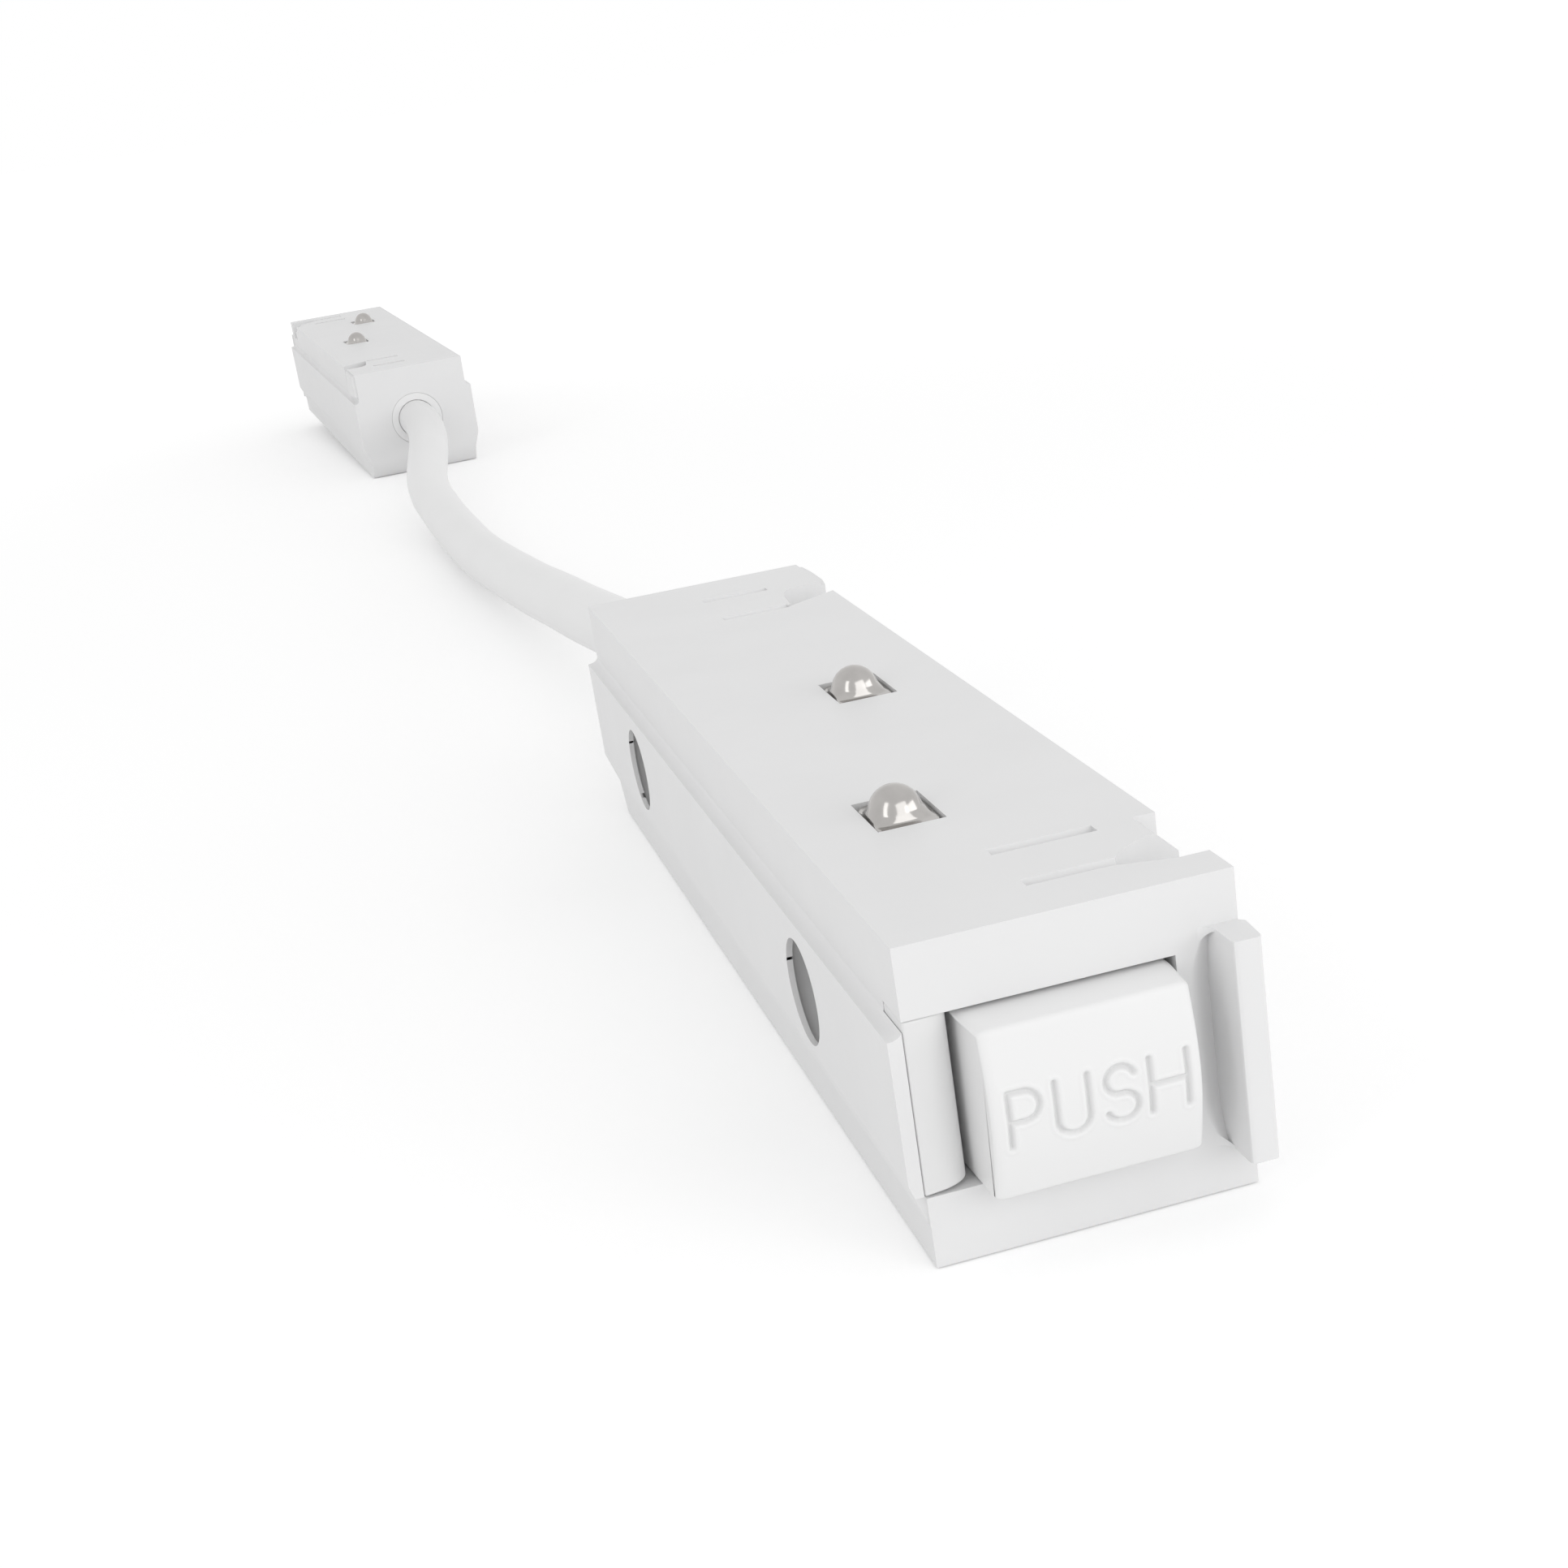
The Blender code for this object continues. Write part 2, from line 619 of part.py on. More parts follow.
def make_contacts(label):
    """The sprung contacts: a dome on a flange, with a guide stem."""
    top = HOUSING_HEIGHT + CONTACT_PROUD - FLANGE_LOW
    shoulder = top - CONTACT_RADIUS
    profile = [
        (0.0, -CONTACT_STEM_LENGTH),
        (CONTACT_STEM_RADIUS, -CONTACT_STEM_LENGTH),
        (CONTACT_STEM_RADIUS, 0.0),
        (CONTACT_FLANGE_RADIUS, 0.0),
        (CONTACT_FLANGE_RADIUS, CONTACT_FLANGE),
        (CONTACT_RADIUS, CONTACT_FLANGE),
    ]
    for step in range(6):
        angle = math.radians(90) * step / 6
        height = shoulder + CONTACT_RADIUS * math.sin(angle)
        profile.append((CONTACT_RADIUS * math.cos(angle), height))
    profile.append((0.0, top))
    contacts = []
    for number, (x, y) in enumerate(CONTACT_POINTS, 1):
        origin = (x, y, FLANGE_LOW)
        contacts.append(turned(f"{label}_contact_{number}", profile, "Z", origin))
    return contacts


def make_contact_springs(label):
    springs = []
    radius = CONTACT_SPRING_RADIUS
    wire = CONTACT_SPRING_WIRE
    turns = CONTACT_SPRING_TURNS
    for number, place in enumerate(CONTACT_POINTS, 1):
        name = f"{label}_contact_spring_{number}"
        springs.append(coil(name, "Z", place, radius, wire, CARRIER_TOP, FLANGE_LOW, turns))
    return springs


def make_screws(label):
    """The side screws, their heads set back in the holes of the left rail."""
    edge = SCREW_HEAD / 4
    profile = [
        (0.0, -SCREW_HEAD - GAP),
        (SCREW_HEAD_RADIUS - edge, -SCREW_HEAD - GAP),
        (SCREW_HEAD_RADIUS, -SCREW_HEAD - GAP + edge),
        (SCREW_HEAD_RADIUS, -GAP),
        (SCREW_SHANK_RADIUS, -GAP),
        (SCREW_SHANK_RADIUS, SCREW_SHANK),
        (0.0, SCREW_SHANK),
    ]
    screws = []
    for number, y in enumerate(SCREW_PLACES, 1):
        origin = (-SCREW_SEAT, y, SIDE_HOLE_HEIGHT)
        screws.append(turned(f"{label}_screw_{number}", profile, "X", origin))
    return screws


def make_gland(label):
    """The collar that the cable leaves through, held by a flange behind the wall."""
    flange_out = -REAR_WALL - GAP
    flange_in = flange_out - GLAND_FLANGE
    profile = [
        (GLAND_BORE, flange_in),
        (GLAND_RADIUS + GLAND_FLANGE, flange_in),
        (GLAND_RADIUS + GLAND_FLANGE, flange_out),
        (GLAND_RADIUS, flange_out),
        (GLAND_RADIUS, 0.0),
        (GLAND_BORE, 0.0),
    ]
    origin = (0.0, HOUSING_LENGTH, CABLE_HEIGHT)
    return [turned(f"{label}_gland", profile, "Y", origin, closed=True)]


PIECES = (
    (make_body, "housing_white"),
    (make_base, "base_white"),
    (make_button, "button_white"),
    (make_button_spring, "spring_steel"),
    (make_cheek, "cheek_white"),
    (make_carrier, "carrier_black"),
    (make_contacts, "contact_nickel"),
    (make_contact_springs, "spring_steel"),
    (make_screws, "screw_steel"),
    (make_gland, "gland_white"),
)


def make_housing(label, matrix, materials):
    """One housing with everything in it, carried by an empty."""
    frame = bpy.data.objects.new(f"{label}_housing", None)
    frame.matrix_world = matrix
    bpy.context.scene.collection.objects.link(frame)
    for make, slot in PIECES:
        for obj in make(label):
            obj.parent = frame
            obj.data.materials.append(materials[slot])


def near_matrix():
    return Matrix.Translation((0.0, -HOUSING_LENGTH / 2, 0.0))


def far_matrix():
    """The far housing is turned round, and stands on its cable end's lower edge."""
    place = Matrix.Translation((FAR_OFFSET, HOUSING_LENGTH / 2 + CABLE_GAP, 0.0))
    yaw = Matrix.Rotation(math.pi + FAR_YAW, 4, "Z")
    pitch = Matrix.Rotation(-FAR_PITCH, 4, "X")
    return place @ yaw @ pitch @ Matrix.Translation((0.0, -HOUSING_LENGTH, 0.0))


def smooth_points(points, first_way, last_way):
    """Close points along a smooth curve through the given ones."""
    ways = [first_way]
    for before, after in zip(points, points[2:]):
        ways.append((after - before) / 2)
    ways.append(last_way)
    found = []
    for i in range(len(points) - 1):
        for step in range(40):
            t = step / 40
            a = 2 * t**3 - 3 * t**2 + 1
            b = t**3 - 2 * t**2 + t
            c = 3 * t**2 - 2 * t**3
            d = t**3 - t**2
            found.append(a * points[i] + b * ways[i] + c * points[i + 1] + d * ways[i + 1])
    found.append(points[-1])
    return found


def evenly(points, spacing):
    """Points at even distances along the close ones."""
    lengths = [0.0]
    for a, b in zip(points, points[1:]):
        lengths.append(lengths[-1] + (b - a).length)
    count = max(2, round(lengths[-1] / spacing))
    found = [points[0]]
    at = 0
    for number in range(1, count):
        wanted = lengths[-1] * number / count
        while lengths[at + 1] < wanted:
            at += 1
        share = (wanted - lengths[at]) / (lengths[at + 1] - lengths[at])
        found.append(points[at].lerp(points[at + 1], share))
    found.append(points[-1])
    return found


def cable_points():
    """The cable's route from inside the near gland to inside the far one."""
    near = near_matrix()
    far = far_matrix()
    inside = Vector((0.0, HOUSING_LENGTH - CABLE_GRIP, CABLE_HEIGHT))
    mouth = Vector((0.0, HOUSING_LENGTH + CABLE_RADIUS / 2, CABLE_HEIGHT))
    start = near @ mouth
    end = far @ mouth
    route = [start]
    for share, aside, height in CABLE_ROUTE:
        chord = start.lerp(end, share)
        route.append(Vector((chord.x + aside, chord.y, max(height, CABLE_RADIUS * 1.1))))
    route.append(end)
    first_way = near.to_3x3() @ Vector((0.0, (route[1] - route[0]).length, 0.0))
    last_way = far.to_3x3() @ Vector((0.0, -(route[-1] - route[-2]).length, 0.0))
    close = smooth_points(route, first_way, last_way)
    return [near @ inside, *evenly(close, 2 * CABLE_DIAMETER), far @ inside]


def make_cable(materials):
    """The flexible cable between the two glands."""
    curve = bpy.data.curves.new("cable", "CURVE")
    curve.dimensions = "3D"
    curve.bevel_depth = CABLE_RADIUS
    curve.bevel_resolution = 4
    curve.use_fill_caps = True
    points = cable_points()
    spline = curve.splines.new("POLY")
    spline.points.add(len(points) - 1)
    for point, place in zip(spline.points, points):
        point.co = (*place, 1.0)
    curve.materials.append(materials["cable_white"])
    cable = bpy.data.objects.new("cable", curve)
    bpy.context.scene.collection.objects.link(cable)


def main():
    clear_scene()
    materials = make_materials()
    make_housing("near", near_matrix(), materials)
    make_housing("far", far_matrix(), materials)
    make_cable(materials)


main()
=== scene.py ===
"""Looks of the magnetic track corner connector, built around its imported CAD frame.

Each housing is modelled in its own frame (x across, y from the push-button end to the cable end,
z up from the underside) and then placed twice, as the CAD model does. Lengths are in metres.
"""

import math

import bmesh
import bpy
from mathutils import Matrix, Vector


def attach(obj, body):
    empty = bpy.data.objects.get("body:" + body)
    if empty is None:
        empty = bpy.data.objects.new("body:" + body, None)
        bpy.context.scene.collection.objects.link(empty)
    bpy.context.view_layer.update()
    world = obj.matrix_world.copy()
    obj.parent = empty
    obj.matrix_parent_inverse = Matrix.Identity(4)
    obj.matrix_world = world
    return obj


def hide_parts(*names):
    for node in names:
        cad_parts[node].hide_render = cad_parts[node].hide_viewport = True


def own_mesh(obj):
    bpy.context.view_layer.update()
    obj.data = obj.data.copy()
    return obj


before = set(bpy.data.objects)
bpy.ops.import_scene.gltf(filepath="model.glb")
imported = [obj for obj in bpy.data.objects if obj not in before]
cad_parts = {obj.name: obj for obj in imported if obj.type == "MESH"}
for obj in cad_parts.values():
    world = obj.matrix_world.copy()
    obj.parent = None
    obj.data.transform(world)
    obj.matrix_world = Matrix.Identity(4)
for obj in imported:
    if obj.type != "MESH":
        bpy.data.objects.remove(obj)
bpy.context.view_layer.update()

# Sizes of the CAD model, some of them brought closer to the photo
GAP = 0.0003
LENGTH = 0.1025
WIDTH = 0.022
HEIGHT = 0.0215
DRAFT = 0.016
HALF = WIDTH / 2
SIDE_WALL = 0.0018
TOP_WALL = 0.0018
REAR_WALL = 0.0022
FOOT_RUN = 0.0019
LUG_PROUD = 0.00025
LUG_INNER = HALF - 0.0019
LUG_REACH = 0.00325
LUG_LOW = 0.0032
LUG_HIGH = 0.0181
LUG_EDGE = 0.00034
LUG_FILLET = 0.0009
LATCH_LENGTH = 0.0095
LATCH_PROUD = 0.0007
LATCH_HEIGHT = 0.0042
END_CAP = 0.0034
CHAMBER_END = 0.0135
INNER_HALF = HALF * (1 - DRAFT) - SIDE_WALL
CAVITY_TOP = HEIGHT - TOP_WALL
RAIL_PROUD = 0.00103
RAIL_FOOT = 0.0028
RAIL_LOW = 0.0059
RAIL_HIGH = 0.0162
RAIL_COVE = 0.0006
WINDOW_LOW = 0.00485
WINDOW_HIGH = HEIGHT - 0.0048
WINDOW_RIGHT = 0.0067
CHAMBER_LEFT = 0.0099
CHEEK_WIDTH = 0.00275
CHEEK_DEPTH = 0.008
SLOT_WIDTH = 0.00085
SLOT_DEPTH = 0.0011
SLOT_LEFT = -0.0007
SLOT_RIGHT = 0.0058
NEAR_SLOT = 0.005
NEAR_INNER_SLOT = 0.0113
FAR_SLOT = LENGTH - 0.008
FAR_INNER_SLOT = LENGTH - 0.0165
NOTCH_LEVEL = HEIGHT - 0.0034
NOTCH_FLOOR = 0.0011
NEAR_NOTCH = 0.0033
FAR_NOTCH = 0.0070
NOTCH_START = 0.0050
RAMP = 0.0016
RAMP_START = 0.008
BUTTON_LEFT = -0.0072
BUTTON_RIGHT = WINDOW_RIGHT - 0.00035
BUTTON_LOW = WINDOW_LOW + GAP
BUTTON_HIGH = WINDOW_HIGH - GAP
BUTTON_PROUD = 0.0026
BUTTON_BULGE = 0.00095
BUTTON_TOP = BUTTON_HIGH - 0.00035
BUTTON_LIP = 0.0004
BUTTON_DEPTH = 0.007
BUTTON_TRAVEL = 0.0018
BUTTON_SEAT = 0.0153
BUTTON_COIL = 0.003
BUTTON_WIRE = 0.00035
BUTTON_TURNS = 5
CONTACT_TRAVEL = 0.0014
CONTACT_SEAT = 0.0135
CONTACT_COIL = 0.0018
CONTACT_WIRE = 0.00022
CONTACT_TURNS = 4
CONTACTS = ((-0.291 * HALF, 0.0229), (0.286 * HALF, 0.054))
CONTACT_WINDOW = (0.0049, 0.0066)
CONTACT_TOP = HEIGHT + 0.002
FLANGE_HIGH = CAVITY_TOP - GAP
FLANGE_LOW = FLANGE_HIGH - 0.0005
FLANGE_RADIUS = 0.003
STEM_RADIUS = 0.001
STEM_LENGTH = 0.0085
BASE_THICKNESS = 0.0018
SCREW_PLACES = (0.0221, LENGTH - 0.0221)
SCREW_HEIGHT = 0.01035
SIDE_HOLE_RADIUS = 0.00384
RECESS_RADIUS = 0.0045
RECESS_LENGTH = 0.0037
SCREW_SEAT = INNER_HALF - GAP
SCREW_HEAD = 0.0021
SCREW_HEAD_RADIUS = 0.0026
SCREW_RADIUS = 0.0014
SCREW_LENGTH = 0.0038
CABLE_RADIUS = 0.0037
CABLE_HEIGHT = 0.0107
CABLE_GRIP = 0.0052
CABLE_GAP = 0.2445
# Share of the straight way between the housings, place beside it and height
CABLE_ROUTE = (
    (0.213, -0.00385, 0.0090),
    (0.330, -0.00522, 0.0070),
    (0.482, -0.00660, 0.0050),
    (0.592, -0.00661, 0.0043),
    (0.677, -0.00684, 0.0050),
    (0.758, -0.00641, 0.0070),
)
GLAND_BORE = CABLE_RADIUS + GAP
GLAND_RADIUS = GLAND_BORE + 0.0009
GLAND_FLANGE = 0.0011
FAR_OFFSET = -0.0054
FAR_YAW = math.radians(3.85)
FAR_PITCH = math.radians(2.2)

# Sizes of the looks alone; BEYOND is how far a cutter passes the surface that it opens
SEAM = 0.00004
BEYOND = 0.001
GRAIN_HEIGHT = 0.00002
SLOT_LEAN = 0.00035
SLOT_SLOPE = 0.00053
SHELL_EDGE = 0.00024
BASE_EDGE = 0.0002
CHEEK_EDGE = 0.00018
SCOOP_WIDTH = 0.0017
SCOOP_DEPTH = 0.00095
BUTTON_LEAN = 0.00042
BUTTON_ROUND = 0.0007
BUTTON_INSET = 0.00032
FINE = 0.000065
LETTER_LOW = 0.0085
LETTER_HIGH = 0.0121
LETTER_HALF = 0.00024
LETTER_DEPTH = 0.0003
LETTER_LIP = 0.00003
LETTER_LIP_WIDTH = 0.0003
CHEEK_TURN = 0.0019
CHEEK_TURN_DEPTH = 0.0011
CHEEK_SLANT = 0.00025
SCREW_CROSS = 0.0013
SCREW_CROSS_THIN = 0.0003
SCREW_CROSS_DEPTH = 0.0009
SCREW_DOME = 0.0009
CONTACT_ROOM = 0.00014
CONTACT_ASIDE = -0.0002
CONTACT_CAP = 0.0019
CONTACT_MOST = 0.00205
CONTACT_LEAN = math.radians(22)

# For each axis, the two directions across it and the one along it
PLANES = {"X": (1, 2, 0), "Y": (0, 2, 1), "Z": (0, 1, 2)}
# Where the two housings stand
PLACES = {
    "near": Matrix.Translation((0.0, -LENGTH / 2, 0.0)),
    "far": Matrix.Translation((FAR_OFFSET, LENGTH / 2 + CABLE_GAP, 0.0))
    @ Matrix.Rotation(math.pi + FAR_YAW, 4, "Z")
    @ Matrix.Rotation(-FAR_PITCH, 4, "X")
    @ Matrix.Translation((0.0, -LENGTH, 0.0)),
}


# Materials

def new_material(name):
    material = bpy.data.materials.new(name)
    material.use_nodes = True
    tree = material.node_tree
    shader = tree.nodes["Principled BSDF"]
    return material, tree, shader


def noise(tree, scale, detail=3.0, roughness=0.5):
    coord = tree.nodes.new("ShaderNodeTexCoord")
    node = tree.nodes.new("ShaderNodeTexNoise")
    node.inputs["Scale"].default_value = scale
    node.inputs["Detail"].default_value = detail
    node.inputs["Roughness"].default_value = roughness
    tree.links.new(coord.outputs["Object"], node.inputs["Vector"])
    return node.outputs["Fac"]


def ramp(tree, value, stops):
    node = tree.nodes.new("ShaderNodeValToRGB")
    ends = node.color_ramp.elements
    for end, (place, colour) in zip(ends, stops):
        end.position = place
        end.color = (*colour, 1.0)
    tree.links.new(value, node.inputs["Fac"])
    return node.outputs["Color"]


def bump(tree, shader, value, strength, distance):
    node = tree.nodes.new("ShaderNodeBump")
    node.inputs["Strength"].default_value = strength
    node.inputs["Distance"].default_value = distance
    tree.links.new(value, node.inputs["Height"])
    tree.links.new(node.outputs["Normal"], shader.inputs["Normal"])


def map_range(tree, value, low, high):
    node = tree.nodes.new("ShaderNodeMapRange")
    node.inputs["To Min"].default_value = low
    node.inputs["To Max"].default_value = high
    tree.links.new(value, node.inputs["Value"])
    return node.outputs["Result"]


def plastic(name, colour, rough, grain=0.12, tint=0.012):
    """White moulded plastic: slow shade variation, fine grain, satin gloss."""
    material, tree, shader = new_material(name)
    dark = [max(0.0, c - tint) for c in colour]
    base = ramp(tree, noise(tree, 90.0, 2.0), ((0.35, dark), (0.65, colour)))
    tree.links.new(base, shader.inputs["Base Color"])
    fine = noise(tree, 5200.0, 2.0, 0.6)
    worn = map_range(tree, noise(tree, 900.0), rough - 0.05, rough + 0.06)
    tree.links.new(worn, shader.inputs["Roughness"])
    bump(tree, shader, fine, grain, GRAIN_HEIGHT)
    shader.inputs["Specular IOR Level"].default_value = 0.35
    return material


def paint_letter_shade(material):
    """Painted shade in the engraved strokes, which the mesh marks with its engraved value: the base
    colour turns greyer where the stroke is deeper.
    """
    tree = material.node_tree
    shader = tree.nodes["Principled BSDF"]
    depth = tree.nodes.new("ShaderNodeAttribute")
    depth.attribute_name = "engraved"
    mix = tree.nodes.new("ShaderNodeMix")
    mix.data_type = "RGBA"
    # Grey of the painted shade at the deepest part of a stroke.
    mix.inputs["B"].default_value = (0.72, 0.72, 0.72, 1.0)
    tree.links.new(map_range(tree, depth.outputs["Fac"], 0.0, 0.8), mix.inputs["Factor"])
    tree.links.new(shader.inputs["Base Color"].links[0].from_socket, mix.inputs["A"])
    tree.links.new(mix.outputs["Result"], shader.inputs["Base Color"])


def metal(name, colour, rough, grain=0.1):
    material, tree, shader = new_material(name)
    dark = [c * 0.9 for c in colour]
    base = ramp(tree, noise(tree, 700.0, 3.0), ((0.3, dark), (0.7, colour)))
    tree.links.new(base, shader.inputs["Base Color"])
    worn = map_range(tree, noise(tree, 1500.0), rough * 0.7, rough * 1.4)
    tree.links.new(worn, shader.inputs["Roughness"])
    shader.inputs["Metallic"].default_value = 1.0
    bump(tree, shader, noise(tree, 2600.0), grain, GRAIN_HEIGHT)
    return material


HOUSING = plastic("housing_plastic", (0.775, 0.775, 0.777), 0.46)
BUTTON = plastic("button_plastic", (0.81, 0.81, 0.81), 0.40, 0.08)
# Painted shade darkens the engraved letter strokes on the button.
paint_letter_shade(BUTTON)
CHEEK = plastic("cheek_plastic", (0.755, 0.755, 0.755), 0.42, 0.08)
BASE = plastic("base_plastic", (0.79, 0.79, 0.79), 0.5)
GLAND = plastic("gland_plastic", (0.81, 0.81, 0.81), 0.5)
CABLE = plastic("cable_sheath", (0.82, 0.82, 0.82), 0.42, 0.05)
CARRIER = plastic("carrier_plastic", (0.035, 0.035, 0.036), 0.5, 0.1, 0.01)
NICKEL = metal("contact_nickel", (0.48, 0.465, 0.45), 0.16)
SPRING = metal("spring_steel", (0.62, 0.62, 0.62), 0.3)
SCREW = metal("screw_steel", (0.62, 0.61, 0.60), 0.28)


# Mesh helpers

def add_object(name, data):
    obj = bpy.data.objects.new(name, data)
    bpy.context.scene.collection.objects.link(obj)
    return obj


def finish_mesh(name, bm):
    bmesh.ops.recalc_face_normals(bm, faces=bm.faces)
    mesh = bpy.data.meshes.new(name)
    bm.to_mesh(mesh)
    bm.free()
    return add_object(name, mesh)


def bridge(bm, one, two):
    """A band of faces between two rings with the same number of points."""
    for i in range(len(one)):
        j = (i + 1) % len(one)
        bm.faces.new((one[i], one[j], two[j], two[i]))


def loft(bm, rings):
    """A closed body through the rings."""
    bm.faces.new(rings[0])
    bm.faces.new(rings[-1])
    for one, two in zip(rings, rings[1:]):
        bridge(bm, one, two)


def prism(name, outline, axis, low, high):
    """An outline across the axis, drawn out along it from low to high."""
    first, second, along = PLANES[axis]
    bm = bmesh.new()
    rings = []
    for level in (low, high):
        ring = []
        for a, b in outline:
            point = [0.0, 0.0, 0.0]
            point[first] = a
            point[second] = b
            point[along] = level
            ring.append(bm.verts.new(point))
        rings.append(ring)
    loft(bm, rings)
    return finish_mesh(name, bm)


def box(name, x_range, y_range, z_range):
    corners = [(x_range[i], y_range[j]) for i, j in ((0, 0), (1, 0), (1, 1), (0, 1))]
    return prism(name, corners, "Z", z_range[0], z_range[1])


def turned(name, profile, axis, origin, closed=False, steps=72):
    """A profile of radii and places along the axis, turned about the axis."""
    first, second, along = PLANES[axis]
    bm = bmesh.new()
    rings = []
    for radius, position in profile:
        ring = []
        for step in range(steps if radius > 0 else 1):
            angle = 2 * math.pi * step / steps
            point = list(origin)
            point[first] += radius * math.cos(angle)
            point[second] += radius * math.sin(angle)
            point[along] += position
            ring.append(bm.verts.new(point))
        rings.append(ring)
    pairs = list(zip(rings, rings[1:]))
    if closed:
        pairs.append((rings[-1], rings[0]))
    for low, high in pairs:
        for i in range(steps):
            j = (i + 1) % steps
            corners = (low[i % len(low)], low[j % len(low)], high[j % len(high)], high[i % len(high)])
            bm.faces.new(list(dict.fromkeys(corners)))
    return finish_mesh(name, bm)


def disc_profile(radius, length):
    return [(0.0, 0.0), (radius, 0.0), (radius, length), (0.0, length)]


def tube(name, points, radius, resolution):
    """A curve through the points that carries a round section."""
    curve = bpy.data.curves.new(name, "CURVE")
    curve.dimensions = "3D"
    curve.bevel_depth = radius
    curve.bevel_resolution = resolution
    curve.use_fill_caps = True
    spline = curve.splines.new("POLY")
    spline.points.add(len(points) - 1)
    for point, where in zip(spline.points, points):
        point.co = (*where, 1.0)
    return add_object(name, curve)


def rounded(outline, radius, steps):
    """The outline with an arc of the radius in place of each sharp corner."""
    found = []
    count = len(outline)
    for i in range(count):
        before = Vector(outline[i - 1])
        here = Vector(outline[i])
        after = Vector(outline[(i + 1) % count])
        back = before - here
        on = after - here
        turn = math.pi - back.angle(on)
        if turn < math.radians(25):
            found.append(tuple(here))
            continue
        reach = min(radius * math.tan(turn / 2), back.length * 0.45, on.length * 0.45)
        start = here + back.normalized() * reach
        end = here + on.normalized() * reach
        for step in range(steps + 1):
            t = step / steps
            found.append(tuple(start * (1 - t) ** 2 + here * 2 * t * (1 - t) + end * t**2))
    return found


def outline_normals(outline):
    """Outward unit normals of a closed outline."""
    count = len(outline)
    area = 0.0
    for (x0, y0), (x1, y1) in zip(outline, outline[1:] + outline[:1]):
        area += x0 * y1 - x1 * y0
    sign = 1.0 if area > 0 else -1.0
    found = []
    for i in range(count):
        way = Vector(outline[(i + 1) % count]) - Vector(outline[i - 1])
        way.normalize()
        found.append((way[1] * sign, -way[0] * sign))
    return found


def apply_modifiers(obj):
    graph = bpy.context.evaluated_depsgraph_get()
    mesh = bpy.data.meshes.new_from_object(obj.evaluated_get(graph))
    obj.modifiers.clear()
    obj.data = mesh


def combine(body, tools, operation):
    for tool in tools:
        modifier = body.modifiers.new(tool.name, "BOOLEAN")
        modifier.operation = operation
        modifier.solver = "EXACT"
        modifier.object = tool
    apply_modifiers(body)
    for tool in tools:
        bpy.data.objects.remove(tool, do_unlink=True)


def clean(obj):
    """Joins flat neighbouring faces, so that a bevel runs along real edges only."""
    bm = bmesh.new()
    bm.from_mesh(obj.data)
    bmesh.ops.remove_doubles(bm, verts=bm.verts, dist=1e-6)
    bmesh.ops.dissolve_limit(bm, angle_limit=math.radians(1.0), verts=bm.verts, edges=bm.edges)
    bm.to_mesh(obj.data)
    bm.free()


def round_edges(obj, width, segments=3, angle=40.0, share_at=None):
    """Rounds the sharp edges; share_at(middle) gives the share of the width at an edge's middle."""
    bm = bmesh.new()
    bm.from_mesh(obj.data)
    weight = bm.edges.layers.float.new("bevel_weight_edge")
    for edge in bm.edges:
        if len(edge.link_faces) == 2 and edge.calc_face_angle(0.0) > math.radians(angle):
            middle = (edge.verts[0].co + edge.verts[1].co) / 2
            edge[weight] = share_at(middle) if share_at else 1.0
    bm.to_mesh(obj.data)
    bm.free()
    modifier = obj.modifiers.new("round", "BEVEL")
    modifier.width = width
    modifier.segments = segments
    modifier.limit_method = "WEIGHT"
    modifier.use_clamp_overlap = True
    modifier.miter_outer = "MITER_ARC"
    modifier.harden_normals = False
    apply_modifiers(obj)


def shade(obj, angle=32.0):
    obj.data.polygons.foreach_set("use_smooth", [True] * len(obj.data.polygons))
    obj.data.set_sharp_from_angle(angle=math.radians(angle))


def flatten_shading(obj):
    """Large flat faces keep their own normal beside the small rounded ones."""
    modifier = obj.modifiers.new("weigh", "WEIGHTED_NORMAL")
    modifier.mode = "FACE_AREA"
    modifier.keep_sharp = True
    modifier.weight = 100
    apply_modifiers(obj)


def place(obj, side, material, body, slot, *nodes):
    obj.data.materials.clear()
    obj.data.materials.append(material)
    obj.data.transform(PLACES[side])
    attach(obj, body)
    if nodes:
        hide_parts(*nodes)


# Housing and what it holds

def side_at(height):
    return HALF * (1 - DRAFT * (1 - height / HEIGHT))


def shell_outline():
    edge = side_at(RAIL_HIGH) + RAIL_PROUD
    right = [
        (side_at(0.0), 0.0),
        (side_at(RAIL_FOOT), RAIL_FOOT),
        (side_at(RAIL_LOW) + RAIL_PROUD, RAIL_LOW),
    ]
    for step in range(9):
        angle = math.radians(90) * step / 8
        right.append((edge - RAIL_PROUD * math.sin(angle), RAIL_HIGH - RAIL_COVE * math.cos(angle)))
    right.append((HALF, HEIGHT))
    return right + [(-x, z) for x, z in reversed(right)]


def lug_outline():
    """The lug seen from above, rounded into the end face on its inner side."""
    inner = LUG_INNER
    edge = LUG_EDGE
    outer = HALF + LUG_PROUD / 5
    corners = [
        (side_at(0.0), END_CAP / 2),
        (side_at(0.0), 0.0),
        (HALF + LUG_PROUD, -2 * LUG_PROUD),
        (outer, -LUG_REACH + edge),
        (outer - edge * 0.3, -LUG_REACH + edge * 0.3),
        (outer - edge, -LUG_REACH),
        (inner + edge, -LUG_REACH),
        (inner + edge * 0.3, -LUG_REACH + edge * 0.3),
        (inner, -LUG_REACH + edge),
    ]
    for step in range(8):
        angle = math.radians(90) * step / 7
        corners.append((inner - LUG_FILLET * (1 - math.cos(angle)), -LUG_FILLET * (1 - math.sin(angle))))
    corners.append((inner - LUG_FILLET, END_CAP / 2))
    return corners


